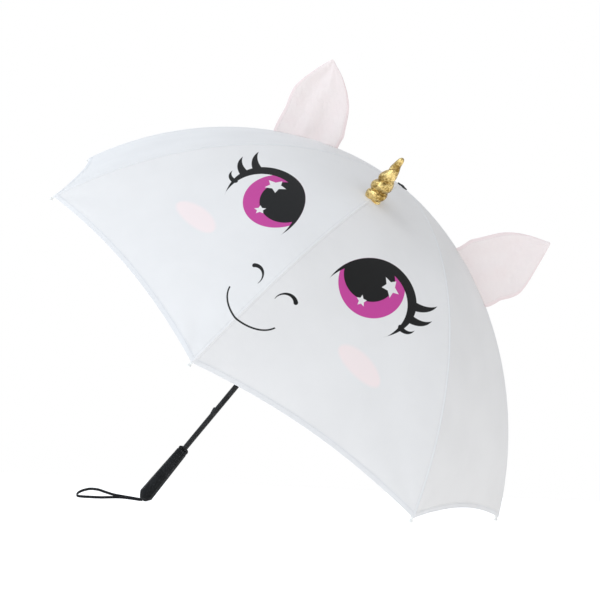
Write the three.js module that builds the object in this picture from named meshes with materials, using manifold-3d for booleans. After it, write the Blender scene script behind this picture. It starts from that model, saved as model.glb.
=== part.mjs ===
// A child's stick umbrella, open and standing on two rib tips and the end of its handle.
// The umbrella is drawn about its own shaft (z up the shaft, z = 0 at the top of the canopy)
// and is then leaned over into its resting pose. All lengths are in millimetres.

import * as THREE from 'three';
import { mergeVertices } from 'three/addons/utils/BufferGeometryUtils.js';
import Module from 'manifold-3d';

const wasm = await Module();
wasm.setup();

// Canopy: eight curved ribs under eight flat-stretched gores.
const RIB_COUNT = 8;
const GORE_ANGLE = (2 * Math.PI) / RIB_COUNT;
const HALF_GORE = GORE_ANGLE / 2;
const HINGE_RADIUS = 9.6;
const RIB_LENGTH = 480;
const TIP_SLOPE = 1.08;
const SLOPE_POWER = 0.81;
const CLOTH_THICKNESS = 0.4;
const CLOTH_START = 5.6;
const CLOTH_END = HINGE_RADIUS + RIB_LENGTH - 5;
const HEM_SAG = 13;
const SEAM_GAP = 0.2;
const CLOTH_STEPS_ALONG = 18;
const CLOTH_STEPS_ACROSS = 3;

// Ribs, their plastic tips and the stretchers.
const RIB_TOP = 1.5;
const RIB_HEIGHT = 2.6;
const RIB_WIDTH = 2.4;
const RIB_START = 8;
const RIB_END = HINGE_RADIUS + RIB_LENGTH - 7;
const RIB_STEPS = 20;
const TIP_RADIUS = 2.2;
const TIP_LENGTH = 8;
const TIP_START_GAP = 0.4;
const STRETCHER_AT = 210;
const STRETCHER_DROP = 4.6;
const STRETCHER_SIDE = 2.8;
const STRETCHER_WIDTH = 2.0;
const STRETCHER_HEIGHT = 2.6;
const STRETCHER_OVERRUN = 2;

// Shaft, crown, cap and runner.
const SHAFT_RADIUS = 4;
const SHAFT_TOP = 0.05;
const SHAFT_BOTTOM = -545;
const SLIDE_GAP = 0.4;
const CROWN_RADIUS = 12;
const CROWN_TOP = -1;
const CROWN_HEIGHT = 8;
const CROWN_SLOT = 3.2;
const CROWN_SLOT_START = 7.2;
const CAP_RADIUS = 7.8;
const CAP_BOTTOM = 0.4;
const CAP_HEIGHT = 2.6;
const CAP_EDGE = 0.6;
const RUNNER_HINGE_RADIUS = 11;
const RUNNER_HINGE_Z = -138;
const RUNNER_FLANGE_RADIUS = 12.5;
const RUNNER_FLANGE_HALF = 4;
const RUNNER_SLEEVE_RADIUS = 7;
const RUNNER_SLEEVE = 38;
const RUNNER_FOOT_RADIUS = 8.5;
const RUNNER_FOOT = 4;
const RUNNER_FOOT_TAPER = 3;
const RUNNER_SLOT = 2.8;
const RUNNER_SLOT_START = 8.3;
const KEYWAY_WIDTH = 3.4;
const KEYWAY_RADIUS = 6.2;

// Spring catches that stand out of slots in the shaft, on the side between two ribs.
const CATCH_ANGLE = 5.5 * GORE_ANGLE;
const CATCH_WIDTH = 2.2;
const CATCH_LENGTH = 13;
const CATCH_STAND = 1.8;
const CATCH_DEPTH = 4.4;
const CATCH_SLOT_DEPTH = 6.8;
const CATCH_SLOT_GAP = 0.4;
const CATCH_NOSE = 3;
const CATCH_HEEL = 0.3;
const TOP_CATCH_Z = RUNNER_HINGE_Z - RUNNER_FLANGE_HALF - RUNNER_SLEEVE - 1;
const BOTTOM_CATCH_Z = -411;

// Handle: an eight-sided tapered grip with a chamfered end, and the plug that holds the strap.
const HANDLE_SIDES = 8;
const HANDLE_TOP = -490.5;
const HANDLE_END = -595;
const HANDLE_TOP_RADIUS = 8.4;
const HANDLE_WIDE_RADIUS = 11.4;
const HANDLE_END_RADIUS = 6.4;
const HANDLE_CHAMFER = 7.5;
const HANDLE_TOP_EDGE = 0.8;
const HANDLE_BORE_GAP = 0.3;
const PLUG_RADIUS = 3.2;
const PLUG_LENGTH = 1.4;
const STRAP_GAP = 0.3;
const STRAP_RADIUS = 1.5;
const STRAP_SIDES = 8;
const STRAP_STEPS = 76;
const PLUG_SIDES = 16;

// The strap's route from the plug and back: distance from the plug along x and y, and the
// height of its middle above the floor. The ends, with no height, are at the plug's own.
const STRAP_ROUTE = [
  [0, -1.8, null],
  [-4, -2.4, 1.8],
  [-16, -5, 1.6],
  [-34, -13, 1.6],
  [-56, -22, 1.6],
  [-76, -31, 1.6],
  [-92, -37, 1.8],
  [-102, -34, 3],
  [-105, -25, 7],
  [-100, -14, 12],
  [-86, -7, 14],
  [-68, -5, 12.5],
  [-48, -3.5, 8.5],
  [-28, -1, 5],
  [-12, 1, 3.2],
  [-4, 1.8, 2.4],
  [0, 1.8, null],
];

// Horn and ears, sewn into the seams of three ribs.
const HORN_AT = 150;
const HORN_TILT = 0.2;
const HORN_LENGTH = 70;
const HORN_RADIUS = 13;
const HORN_POINT_RADIUS = 3;
const HORN_SWELL = 1.6;
const HORN_SINK = 12;
const HORN_STEPS = 8;
const EAR_START = 108;
const EAR_END = 194;
const EAR_TIP = [187, 69];
const EAR_FRONT_BULGE = [18, -22];
const EAR_BACK_BULGE = [16, -34];
const EAR_BACK_FOOT = [26, 30];
const EAR_THICKNESS = 3;
const EAR_FRONT_STEPS = 8;
const EAR_BACK_STEPS = 12;
const TRIM_GAP = 0.9;

// How finely round shapes are faceted.
const ROUND_SIDES = 24;
const SHAFT_SIDES = 20;
const HORN_SIDES = 16;
const TIP_SIDES = 12;
const TIP_ROUND_STEPS = 3;
const OVERCUT = 1;

const PALETTE = {
  cloth: { color: 0xf1f1f2, roughness: 0.75, metalness: 0 },
  blush: { color: 0xf2e2e4, roughness: 0.8, metalness: 0 },
  gold: { color: 0xc9963a, roughness: 0.4, metalness: 0.6 },
  steel: { color: 0x2b2c2e, roughness: 0.35, metalness: 0.6 },
  plastic: { color: 0x232425, roughness: 0.45, metalness: 0 },
  white: { color: 0xf0f0ee, roughness: 0.4, metalness: 0 },
  strap: { color: 0x1b1b1d, roughness: 0.85, metalness: 0 },
};

// ---------- the seam curve: where a canopy seam runs over its rib ----------

const CURVE_STEP = 1;

/** Slope below level of the seam at arc length s from the shaft's axis, in radians. */
function slopeAt(s) {
  const along = Math.max(0, (s - HINGE_RADIUS) / RIB_LENGTH);
  return TIP_SLOPE * along ** SLOPE_POWER;
}

const seamTable = [[0, 0]];
for (let s = 0; s < HINGE_RADIUS + RIB_LENGTH + CURVE_STEP; s += CURVE_STEP) {
  const [r, z] = seamTable[seamTable.length - 1];
  const slope = slopeAt(s + CURVE_STEP / 2);
  seamTable.push([r + CURVE_STEP * Math.cos(slope), z - CURVE_STEP * Math.sin(slope)]);
}

/** Radius and height of the seam at arc length s, moved down its own normal by drop. */
function seamAt(s, drop = 0) {
  const step = Math.min(Math.floor(s / CURVE_STEP), seamTable.length - 2);
  const part = s / CURVE_STEP - step;
  const [r0, z0] = seamTable[step];
  const [r1, z1] = seamTable[step + 1];
  const slope = slopeAt(s);
  const r = r0 + part * (r1 - r0) - drop * Math.sin(slope);
  const z = z0 + part * (z1 - z0) - drop * Math.cos(slope);
  return [r, z];
}

// ---------- solids ----------

/** A manifold solid from a closed three.js geometry. */
function toSolid(geometry) {
  const bare = geometry.clone();
  bare.deleteAttribute('normal');
  bare.deleteAttribute('uv');
  const merged = mergeVertices(bare, 1e-4);
  const vertProperties = new Float32Array(merged.attributes.position.array);
  const triVerts = new Uint32Array(merged.index.array);
  return new wasm.Manifold(new wasm.Mesh({ numProp: 3, vertProperties, triVerts }));
}

/** A three.js geometry from a manifold solid. */
function toGeometry(solid) {
  const mesh = solid.getMesh();
  const geometry = new THREE.BufferGeometry();
  geometry.setAttribute('position', new THREE.BufferAttribute(mesh.vertProperties, 3));
  geometry.setIndex(new THREE.BufferAttribute(mesh.triVerts, 1));
  geometry.computeVertexNormals();
  return geometry;
}

/** A geometry with every cutter taken away from it. */
function cut(geometry, cutters) {
  const solid = cutters.reduce((rest, cutter) => rest.subtract(toSolid(cutter)), toSolid(geometry));
  return toGeometry(solid);
}

/** A solid of revolution about z from [radius, z] points that start and end on the axis. */
function turned(profile, sides) {
  const points = profile.map(([r, z]) => new THREE.Vector2(r, z));
  return new THREE.LatheGeometry(points, sides).rotateX(Math.PI / 2);
}

/** A box from its least to its greatest corner. */
function block(low, high) {
  const [dx, dy, dz] = high.map((value, axis) => value - low[axis]);
  const box = new THREE.BoxGeometry(dx, dy, dz);
  return box.translate(low[0] + dx / 2, low[1] + dy / 2, low[2] + dz / 2);
}

/** A flat shape drawn in the radial plane, [radius, z], given a width across that plane. */
function radialPlate(outline, width) {
  const shape = new THREE.Shape(outline.map(([r, z]) => new THREE.Vector2(r, z)));
  const plate = new THREE.ExtrudeGeometry(shape, { depth: width, bevelEnabled: false });
  return plate.rotateX(Math.PI / 2).translate(0, width / 2, 0);
}

/** A closed slab between two sheets of points; outer and inner give a point for (u, v). */
function slab(stepsU, stepsV, outer, inner) {
  const positions = [];
  const index = [];
  const sheetSize = (stepsU + 1) * (stepsV + 1);
  for (const sheet of [outer, inner]) {
    for (let i = 0; i <= stepsU; i += 1) {
      for (let j = 0; j <= stepsV; j += 1) {
        positions.push(...sheet(i / stepsU, j / stepsV));
      }
    }
  }
  const at = (sheet, i, j) => sheet * sheetSize + i * (stepsV + 1) + j;
  const quad = (a, b, c, d) => index.push(a, b, c, a, c, d);
  for (let i = 0; i < stepsU; i += 1) {
    for (let j = 0; j < stepsV; j += 1) {
      quad(at(0, i, j), at(0, i + 1, j), at(0, i + 1, j + 1), at(0, i, j + 1));
      quad(at(1, i, j), at(1, i, j + 1), at(1, i + 1, j + 1), at(1, i + 1, j));
    }
    quad(at(0, i, 0), at(1, i, 0), at(1, i + 1, 0), at(0, i + 1, 0));
    quad(at(0, i, stepsV), at(0, i + 1, stepsV), at(1, i + 1, stepsV), at(1, i, stepsV));
  }
  for (let j = 0; j < stepsV; j += 1) {
    quad(at(0, 0, j), at(0, 0, j + 1), at(1, 0, j + 1), at(1, 0, j));
    quad(at(0, stepsU, j), at(1, stepsU, j), at(1, stepsU, j + 1), at(0, stepsU, j + 1));
  }
  const geometry = new THREE.BufferGeometry();
  geometry.setAttribute('position', new THREE.Float32BufferAttribute(positions, 3));
  geometry.setIndex(index);
  return geometry;
}

/** A geometry with its faces turned the other way, for a mirrored shape. */
function flipped(geometry) {
  const index = geometry.index.array;
  for (let i = 0; i < index.length; i += 3) {
    [index[i], index[i + 1]] = [index[i + 1], index[i]];
  }
  return geometry;
}

function addPart(group, name, geometry, paint, angle = 0) {
  const mesh = new THREE.Mesh(geometry, new THREE.MeshStandardMaterial(PALETTE[paint]));
  mesh.name = name;
  mesh.rotation.z = angle;
  group.add(mesh);
  return mesh;
}

// ---------- canopy ----------

/** Half a gore, from its rib's seam to the gore's middle, on side +1 or -1 of the rib. */
function halfGore(side) {
  const middle = new THREE.Vector3(Math.cos(HALF_GORE), Math.sin(HALF_GORE), 0);
  const across = new THREE.Vector3(-Math.sin(HALF_GORE), Math.cos(HALF_GORE), 0);
  const pointAt = (u, v, drop) => {
    const sag = HEM_SAG * (1 - (1 - v) ** 2);
    const s = CLOTH_START + u * (CLOTH_END - sag - CLOTH_START);
    const [r, z] = seamAt(s);
    const slope = slopeAt(s);
    const normal = middle.clone().multiplyScalar(Math.sin(slope));
    normal.z = Math.cos(slope) * Math.cos(HALF_GORE);
    const width = r * Math.sin(HALF_GORE) - 2 * SEAM_GAP;
    const point = new THREE.Vector3(r, 0, z)
      .addScaledVector(across, SEAM_GAP + v * width)
      .addScaledVector(normal.normalize(), -drop);
    return [point.x, side * point.y, point.z];
  };
  const geometry = slab(
    CLOTH_STEPS_ALONG,
    CLOTH_STEPS_ACROSS,
    (u, v) => pointAt(u, v, 0),
    (u, v) => pointAt(u, v, CLOTH_THICKNESS),
  );
  return side > 0 ? geometry : flipped(geometry);
}

function rib() {
  const edge = (drop) => {
    const points = [];
    for (let i = 0; i <= RIB_STEPS; i += 1) {
      points.push(seamAt(RIB_START + (i / RIB_STEPS) * (RIB_END - RIB_START), drop));
    }
    return points;
  };
  return radialPlate([...edge(RIB_TOP), ...edge(RIB_TOP + RIB_HEIGHT).reverse()], RIB_WIDTH);
}

const TIP_SHIFT = RIB_END + TIP_START_GAP;
const TIP_CENTRE_DROP = RIB_TOP + RIB_HEIGHT / 2;

/** The round-ended plastic tip on a rib; its round end's centre is tipCentre(). */
function ribTip() {
  const roundAt = TIP_LENGTH - TIP_RADIUS;
  const profile = [[0, 0], [TIP_RADIUS, 0], [TIP_RADIUS, roundAt]];
  for (let i = 1; i <= TIP_ROUND_STEPS; i += 1) {
    const turn = (i / TIP_ROUND_STEPS) * (Math.PI / 2);
    profile.push([TIP_RADIUS * Math.cos(turn), roundAt + TIP_RADIUS * Math.sin(turn)]);
  }
  profile[profile.length - 1][0] = 0;
  const [r, z] = seamAt(TIP_SHIFT, TIP_CENTRE_DROP);
  const along = Math.PI / 2 + slopeAt(TIP_SHIFT);
  return turned(profile, TIP_SIDES).rotateY(along).translate(r, 0, z);
}

function tipCentre() {
  const [r, z] = seamAt(TIP_SHIFT, TIP_CENTRE_DROP);
  const slope = slopeAt(TIP_SHIFT);
  const reach = TIP_LENGTH - TIP_RADIUS;
  return [r + reach * Math.cos(slope), z - reach * Math.sin(slope)];
}

function stretcher() {
  const [r, z] = seamAt(STRETCHER_AT, STRETCHER_DROP);
  const length = Math.hypot(r - RUNNER_HINGE_RADIUS, z - RUNNER_HINGE_Z);
  const rise = Math.atan2(z - RUNNER_HINGE_Z, r - RUNNER_HINGE_RADIUS);
  const near = STRETCHER_SIDE - STRETCHER_WIDTH / 2;
  const low = [-STRETCHER_OVERRUN, near, -STRETCHER_HEIGHT / 2];
  const high = [length + STRETCHER_OVERRUN, near + STRETCHER_WIDTH, STRETCHER_HEIGHT / 2];
  return block(low, high).rotateY(-rise).translate(RUNNER_HINGE_RADIUS, 0, RUNNER_HINGE_Z);
}

// ---------- shaft and what slides or sits on it ----------

/** A radial slot cutter of some width, from one radius outwards, beside its radial line. */
function radialSlot(angle, start, width, side, low, high) {
  const far = 2 * CROWN_RADIUS;
  return block([start, side - width / 2, low], [far, side + width / 2, high]).rotateZ(angle);
}

/** A solid cylinder about z. */
function drum(radius, low, high, sides) {
  return turned([[0, low], [radius, low], [radius, high], [0, high]], sides);
}

function crown() {
  const low = CROWN_TOP - CROWN_HEIGHT;
  const body = drum(CROWN_RADIUS, low, CROWN_TOP, ROUND_SIDES);
  const boreRadius = SHAFT_RADIUS + SLIDE_GAP;
  const bore = drum(boreRadius, low - OVERCUT, CROWN_TOP + OVERCUT, ROUND_SIDES);
  const slots = ribAngles().map((angle) =>
    radialSlot(angle, CROWN_SLOT_START, CROWN_SLOT, 0, low - OVERCUT, CROWN_TOP + OVERCUT));
  return cut(body, [bore, ...slots]);
}

function runner() {
  const high = RUNNER_HINGE_Z + RUNNER_FLANGE_HALF;
  const flangeLow = RUNNER_HINGE_Z - RUNNER_FLANGE_HALF;
  const low = flangeLow - RUNNER_SLEEVE;
  const body = turned(
    [
      [0, low],
      [RUNNER_FOOT_RADIUS, low],
      [RUNNER_FOOT_RADIUS, low + RUNNER_FOOT],
      [RUNNER_SLEEVE_RADIUS, low + RUNNER_FOOT + RUNNER_FOOT_TAPER],
      [RUNNER_SLEEVE_RADIUS, flangeLow],
      [RUNNER_FLANGE_RADIUS, flangeLow],
      [RUNNER_FLANGE_RADIUS, high],
      [0, high],
    ],
    ROUND_SIDES,
  );
  const [cutLow, cutHigh] = [low - OVERCUT, high + OVERCUT];
  const bore = drum(SHAFT_RADIUS + SLIDE_GAP, cutLow, cutHigh, ROUND_SIDES);
  const slots = ribAngles().map((angle) =>
    radialSlot(angle, RUNNER_SLOT_START, RUNNER_SLOT, STRETCHER_SIDE, flangeLow, cutHigh));
  const half = KEYWAY_WIDTH / 2;
  const keyway = block([0, -half, cutLow], [KEYWAY_RADIUS, half, cutHigh]);
  return cut(body, [bore, ...slots, keyway.rotateZ(CATCH_ANGLE)]);
}

function shaft() {
  const body = drum(SHAFT_RADIUS, SHAFT_BOTTOM, SHAFT_TOP, SHAFT_SIDES);
  const slots = [TOP_CATCH_Z, BOTTOM_CATCH_Z].map((z) => {
    const half = CATCH_WIDTH / 2 + CATCH_SLOT_GAP;
    const low = [SHAFT_RADIUS - CATCH_SLOT_DEPTH, -half, z - CATCH_LENGTH - CATCH_SLOT_GAP];
    const high = [SHAFT_RADIUS + OVERCUT, half, z + CATCH_SLOT_GAP];
    return block(low, high).rotateZ(CATCH_ANGLE);
  });
  return cut(body, slots);
}

/** A wedge-shaped spring catch: square at the top, sloping in to the shaft at the bottom. */
function springCatch(z) {
  const inside = SHAFT_RADIUS - CATCH_DEPTH;
  const outline = [
    [inside, z - CATCH_LENGTH],
    [SHAFT_RADIUS - CATCH_HEEL, z - CATCH_LENGTH],
    [SHAFT_RADIUS + CATCH_STAND, z - CATCH_NOSE],
    [SHAFT_RADIUS + CATCH_STAND, z],
    [inside, z],
  ];
  return radialPlate(outline, CATCH_WIDTH);
}

function cap() {
  const high = CAP_BOTTOM + CAP_HEIGHT;
  return turned(
    [
      [0, CAP_BOTTOM],
      [CAP_RADIUS, CAP_BOTTOM],
      [CAP_RADIUS, high - CAP_EDGE],
      [CAP_RADIUS - CAP_EDGE, high],
      [0, high],
    ],
    ROUND_SIDES,
  );
}

// ---------- handle ----------

function handle() {
  const body = turned(
    [
      [0, HANDLE_END],
      [HANDLE_END_RADIUS, HANDLE_END],
      [HANDLE_WIDE_RADIUS, HANDLE_END + HANDLE_CHAMFER],
      [HANDLE_TOP_RADIUS, HANDLE_TOP - HANDLE_TOP_EDGE],
      [HANDLE_TOP_RADIUS - HANDLE_TOP_EDGE, HANDLE_TOP],
      [0, HANDLE_TOP],
    ],
    HANDLE_SIDES,
  );
  const boreLow = SHAFT_BOTTOM - HANDLE_BORE_GAP;
  const boreHigh = HANDLE_TOP + OVERCUT;
  return cut(body, [drum(SHAFT_RADIUS + HANDLE_BORE_GAP, boreLow, boreHigh, SHAFT_SIDES)]);
}

function strapPlug() {
  const high = HANDLE_END - STRAP_GAP;
  return drum(PLUG_RADIUS, high - PLUG_LENGTH, high, PLUG_SIDES);
}

// ---------- horn and ears ----------

function horn() {
  const profile = [[0, -HORN_SINK], [HORN_RADIUS, -HORN_SINK]];
  for (let i = 0; i <= HORN_STEPS; i += 1) {
    const along = i / HORN_STEPS;
    const taper = (HORN_RADIUS - HORN_POINT_RADIUS) * (1 - along ** HORN_SWELL);
    profile.push([HORN_POINT_RADIUS + taper, along * (HORN_LENGTH - HORN_POINT_RADIUS)]);
  }
  profile.push([0, HORN_LENGTH]);
  const [r, z] = seamAt(HORN_AT);
  const cone = turned(profile, HORN_SIDES).rotateY(HORN_TILT).translate(r, 0, z);
  const size = 4 * HORN_RADIUS;
  const cloth = block([-size, -size, -size], [size, size, TRIM_GAP]);
  return cut(cone, [cloth.rotateY(slopeAt(HORN_AT)).translate(r, 0, z)]);
}

function ear() {
  const [tipR, tipZ] = EAR_TIP;
  const [startR, startZ] = seamAt(EAR_START, -TRIM_GAP);
  const [endR, endZ] = seamAt(EAR_END, -TRIM_GAP);
  const front = new THREE.QuadraticBezierCurve(
    new THREE.Vector2(startR, startZ),
    new THREE.Vector2(startR + EAR_FRONT_BULGE[0], tipZ + EAR_FRONT_BULGE[1]),
    new THREE.Vector2(tipR, tipZ),
  );
  const back = new THREE.CubicBezierCurve(
    new THREE.Vector2(tipR, tipZ),
    new THREE.Vector2(tipR + EAR_BACK_BULGE[0], tipZ + EAR_BACK_BULGE[1]),
    new THREE.Vector2(endR + EAR_BACK_FOOT[0], endZ + EAR_BACK_FOOT[1]),
    new THREE.Vector2(endR, endZ),
  );
  const edge = [...front.getPoints(EAR_FRONT_STEPS), ...back.getPoints(EAR_BACK_STEPS).slice(1)];
  const outline = edge.map((point) => [point.x, point.y]);
  for (let i = EAR_FRONT_STEPS - 1; i >= 1; i -= 1) {
    const along = i / EAR_FRONT_STEPS;
    outline.push(seamAt(EAR_START + along * (EAR_END - EAR_START), -TRIM_GAP));
  }
  return radialPlate(outline, EAR_THICKNESS);
}

// ---------- assembly ----------

function ribAngles() {
  return Array.from({ length: RIB_COUNT }, (_, i) => i * GORE_ANGLE);
}

function buildUmbrella() {
  const umbrella = new THREE.Group();
  addPart(umbrella, 'shaft', shaft(), 'steel');
  addPart(umbrella, 'top_cap', cap(), 'plastic');
  addPart(umbrella, 'crown', crown(), 'plastic');
  addPart(umbrella, 'runner', runner(), 'plastic');
  addPart(umbrella, 'top_catch', springCatch(TOP_CATCH_Z), 'steel', CATCH_ANGLE);
  addPart(umbrella, 'bottom_catch', springCatch(BOTTOM_CATCH_Z), 'steel', CATCH_ANGLE);
  addPart(umbrella, 'handle', handle(), 'plastic');
  addPart(umbrella, 'strap_plug', strapPlug(), 'plastic');
  ribAngles().forEach((angle, i) => {
    addPart(umbrella, `rib_${i + 1}`, rib(), 'steel', angle);
    addPart(umbrella, `tip_${i + 1}`, ribTip(), 'white', angle);
    addPart(umbrella, `stretcher_${i + 1}`, stretcher(), 'steel', angle);
    addPart(umbrella, `cloth_${i + 1}_plus`, halfGore(1), 'cloth', angle);
    addPart(umbrella, `cloth_${i + 1}_minus`, halfGore(-1), 'cloth', angle);
  });
  addPart(umbrella, 'horn', horn(), 'gold');
  addPart(umbrella, 'ear_right', ear(), 'blush', Math.PI / 2);
  addPart(umbrella, 'ear_left', ear(), 'blush', -Math.PI / 2);
  return umbrella;
}

/** How far the shaft leans from upright when two tips and the handle's end touch the floor. */
function restingLean() {
  const [tipR, tipZ] = tipCentre();
  const handleReach = HANDLE_END_RADIUS * Math.cos(Math.PI / HANDLE_SIDES);
  const acrossShaft = tipR * Math.cos(HALF_GORE) - handleReach;
  const alongShaft = tipZ - HANDLE_END;
  const span = Math.hypot(acrossShaft, alongShaft);
  return Math.atan2(alongShaft, acrossShaft) - Math.asin(TIP_RADIUS / span);
}

/** The wrist strap: a loop of cord that starts and ends at the plug. */
function strap(plugEnd) {
  const points = STRAP_ROUTE.map(([x, y, height]) =>
    new THREE.Vector3(plugEnd.x + x, plugEnd.y + y, height ?? plugEnd.z));
  const corners = Array.from({ length: STRAP_SIDES }, (_, i) => {
    const turn = (i / STRAP_SIDES) * 2 * Math.PI;
    return new THREE.Vector2(STRAP_RADIUS * Math.cos(turn), STRAP_RADIUS * Math.sin(turn));
  });
  return new THREE.ExtrudeGeometry(new THREE.Shape(corners), {
    steps: STRAP_STEPS,
    bevelEnabled: false,
    extrudePath: new THREE.CatmullRomCurve3(points),
  });
}

const umbrella = buildUmbrella();
umbrella.rotation.z = -1.5 * GORE_ANGLE;
const leaning = new THREE.Group();
leaning.rotation.y = restingLean();
leaning.add(umbrella);
leaning.updateMatrixWorld(true);
const extent = new THREE.Box3().setFromObject(leaning, true);
const centre = extent.getCenter(new THREE.Vector3());
leaning.position.set(-centre.x, -centre.y, -extent.min.z);
leaning.updateMatrixWorld(true);

const part = new THREE.Group();
part.add(leaning);
const plugFace = new THREE.Vector3(0, 0, HANDLE_END - PLUG_LENGTH - 2 * STRAP_GAP - STRAP_RADIUS);
const plugEnd = plugFace.applyMatrix4(umbrella.matrixWorld);
addPart(part, 'wrist_strap', strap(plugEnd), 'strap');

export default part;
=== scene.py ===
"""A child's stick umbrella with an animal's face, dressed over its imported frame.

The umbrella stands open on two rib tips and the end of its handle. Every piece is drawn in the
umbrella's own frame, z up the shaft from the top of the canopy and the face's middle seam at
azimuth 0, and is then leaned into the row frame. Lengths are in metres.
"""

import logging
import math
from collections.abc import Callable
from dataclasses import dataclass, field
from enum import Enum

import bmesh
import bpy
from mathutils import Matrix, Vector, noise


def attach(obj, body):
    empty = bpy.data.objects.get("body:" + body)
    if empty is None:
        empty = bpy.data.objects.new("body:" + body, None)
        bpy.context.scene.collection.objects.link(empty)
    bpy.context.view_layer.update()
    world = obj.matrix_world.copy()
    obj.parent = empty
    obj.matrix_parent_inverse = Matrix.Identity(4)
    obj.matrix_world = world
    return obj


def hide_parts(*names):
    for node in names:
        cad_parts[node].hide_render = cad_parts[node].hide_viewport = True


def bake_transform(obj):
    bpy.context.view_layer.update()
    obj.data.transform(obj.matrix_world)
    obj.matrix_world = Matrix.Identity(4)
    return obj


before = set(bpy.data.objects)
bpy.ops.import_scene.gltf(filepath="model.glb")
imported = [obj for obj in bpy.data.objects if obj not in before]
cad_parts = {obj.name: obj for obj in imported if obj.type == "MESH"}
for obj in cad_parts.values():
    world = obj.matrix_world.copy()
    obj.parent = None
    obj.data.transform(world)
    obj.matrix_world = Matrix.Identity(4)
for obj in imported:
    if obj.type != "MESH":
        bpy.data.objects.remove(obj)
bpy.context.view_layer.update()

log = logging.getLogger("umbrella")

Point = tuple[float, float, float]
Pair = tuple[float, float]
Colour = tuple[float, float, float, float]
Socket = bpy.types.NodeSocket

MM = 0.001
TINY = 1e-9
CANOPY_TOP = Vector((0.132807, 0.0, 0.435548))
SHAFT_LEAN = math.radians(43.5169)
SPIN = math.radians(-67.5)
TO_ROW = (
    Matrix.Translation(CANOPY_TOP)
    @ Matrix.Rotation(SHAFT_LEAN, 4, "Y")
    @ Matrix.Rotation(SPIN, 4, "Z")
)

RIB_COUNT = 8
GORE_ANGLE = 2 * math.pi / RIB_COUNT
HALF_GORE = GORE_ANGLE / 2


class Side(Enum):
    """Which side of its rib half a gore lies on."""

    PLUS = 1
    MINUS = -1

    @property
    def word(self) -> str:
        """The side's word in the names of bodies and nodes."""
        return self.name.lower()


# ---------- node sheets ----------


class NodeSheet:
    """A node tree, with short calls for the nodes that the finishes and the surround share."""

    MIX_FACTOR, MIX_FIRST, MIX_SECOND, MIX_RESULT = 0, 6, 7, 2

    def __init__(self, tree: bpy.types.NodeTree) -> None:
        """Keeps the tree that the nodes go into."""
        self.tree = tree

    def put(self, socket: Socket, value: object) -> None:
        """Links a socket to value, or sets it where value is a plain number or colour.

        Args:
            socket: the input socket.
            value: another node's output, or a plain value.
        """
        if isinstance(value, Socket):
            self.tree.links.new(value, socket)
        else:
            socket.default_value = value

    def math(self, operation: str, *values: object, clamp: bool = False) -> Socket:
        """One Math node's result.

        Args:
            operation: the Math node's operation.
            values: numbers or sockets for its inputs, in order.
            clamp: whether the result is held between 0 and 1.

        Returns:
            The node's output socket.
        """
        node = self.tree.nodes.new("ShaderNodeMath")
        node.operation = operation
        node.use_clamp = clamp
        for socket, value in zip(node.inputs, values):
            self.put(socket, value)
        return node.outputs[0]

    def blend(self, factor: object, first: object, second: object) -> Socket:
        """A colour between first and second by factor.

        Args:
            factor: how much of second there is, 0 to 1.
            first: the colour at 0.
            second: the colour at 1.

        Returns:
            The colour's socket.
        """
        node = self.tree.nodes.new("ShaderNodeMix")
        node.data_type = "RGBA"
        self.put(node.inputs[self.MIX_FACTOR], factor)
        self.put(node.inputs[self.MIX_FIRST], first)
        self.put(node.inputs[self.MIX_SECOND], second)
        return node.outputs[self.MIX_RESULT]

    def ramp(self, value: object, low: float, high: float) -> Socket:
        """0 below low, 1 above high and a smooth step between.

        Args:
            value: the value that is compared.
            low: where the step starts.
            high: where the step ends.

        Returns:
            The step's socket.
        """
        node = self.tree.nodes.new("ShaderNodeMapRange")
        node.interpolation_type = "SMOOTHSTEP"
        self.put(node.inputs["Value"], value)
        self.put(node.inputs["From Min"], low)
        self.put(node.inputs["From Max"], high)
        return node.outputs["Result"]


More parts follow.
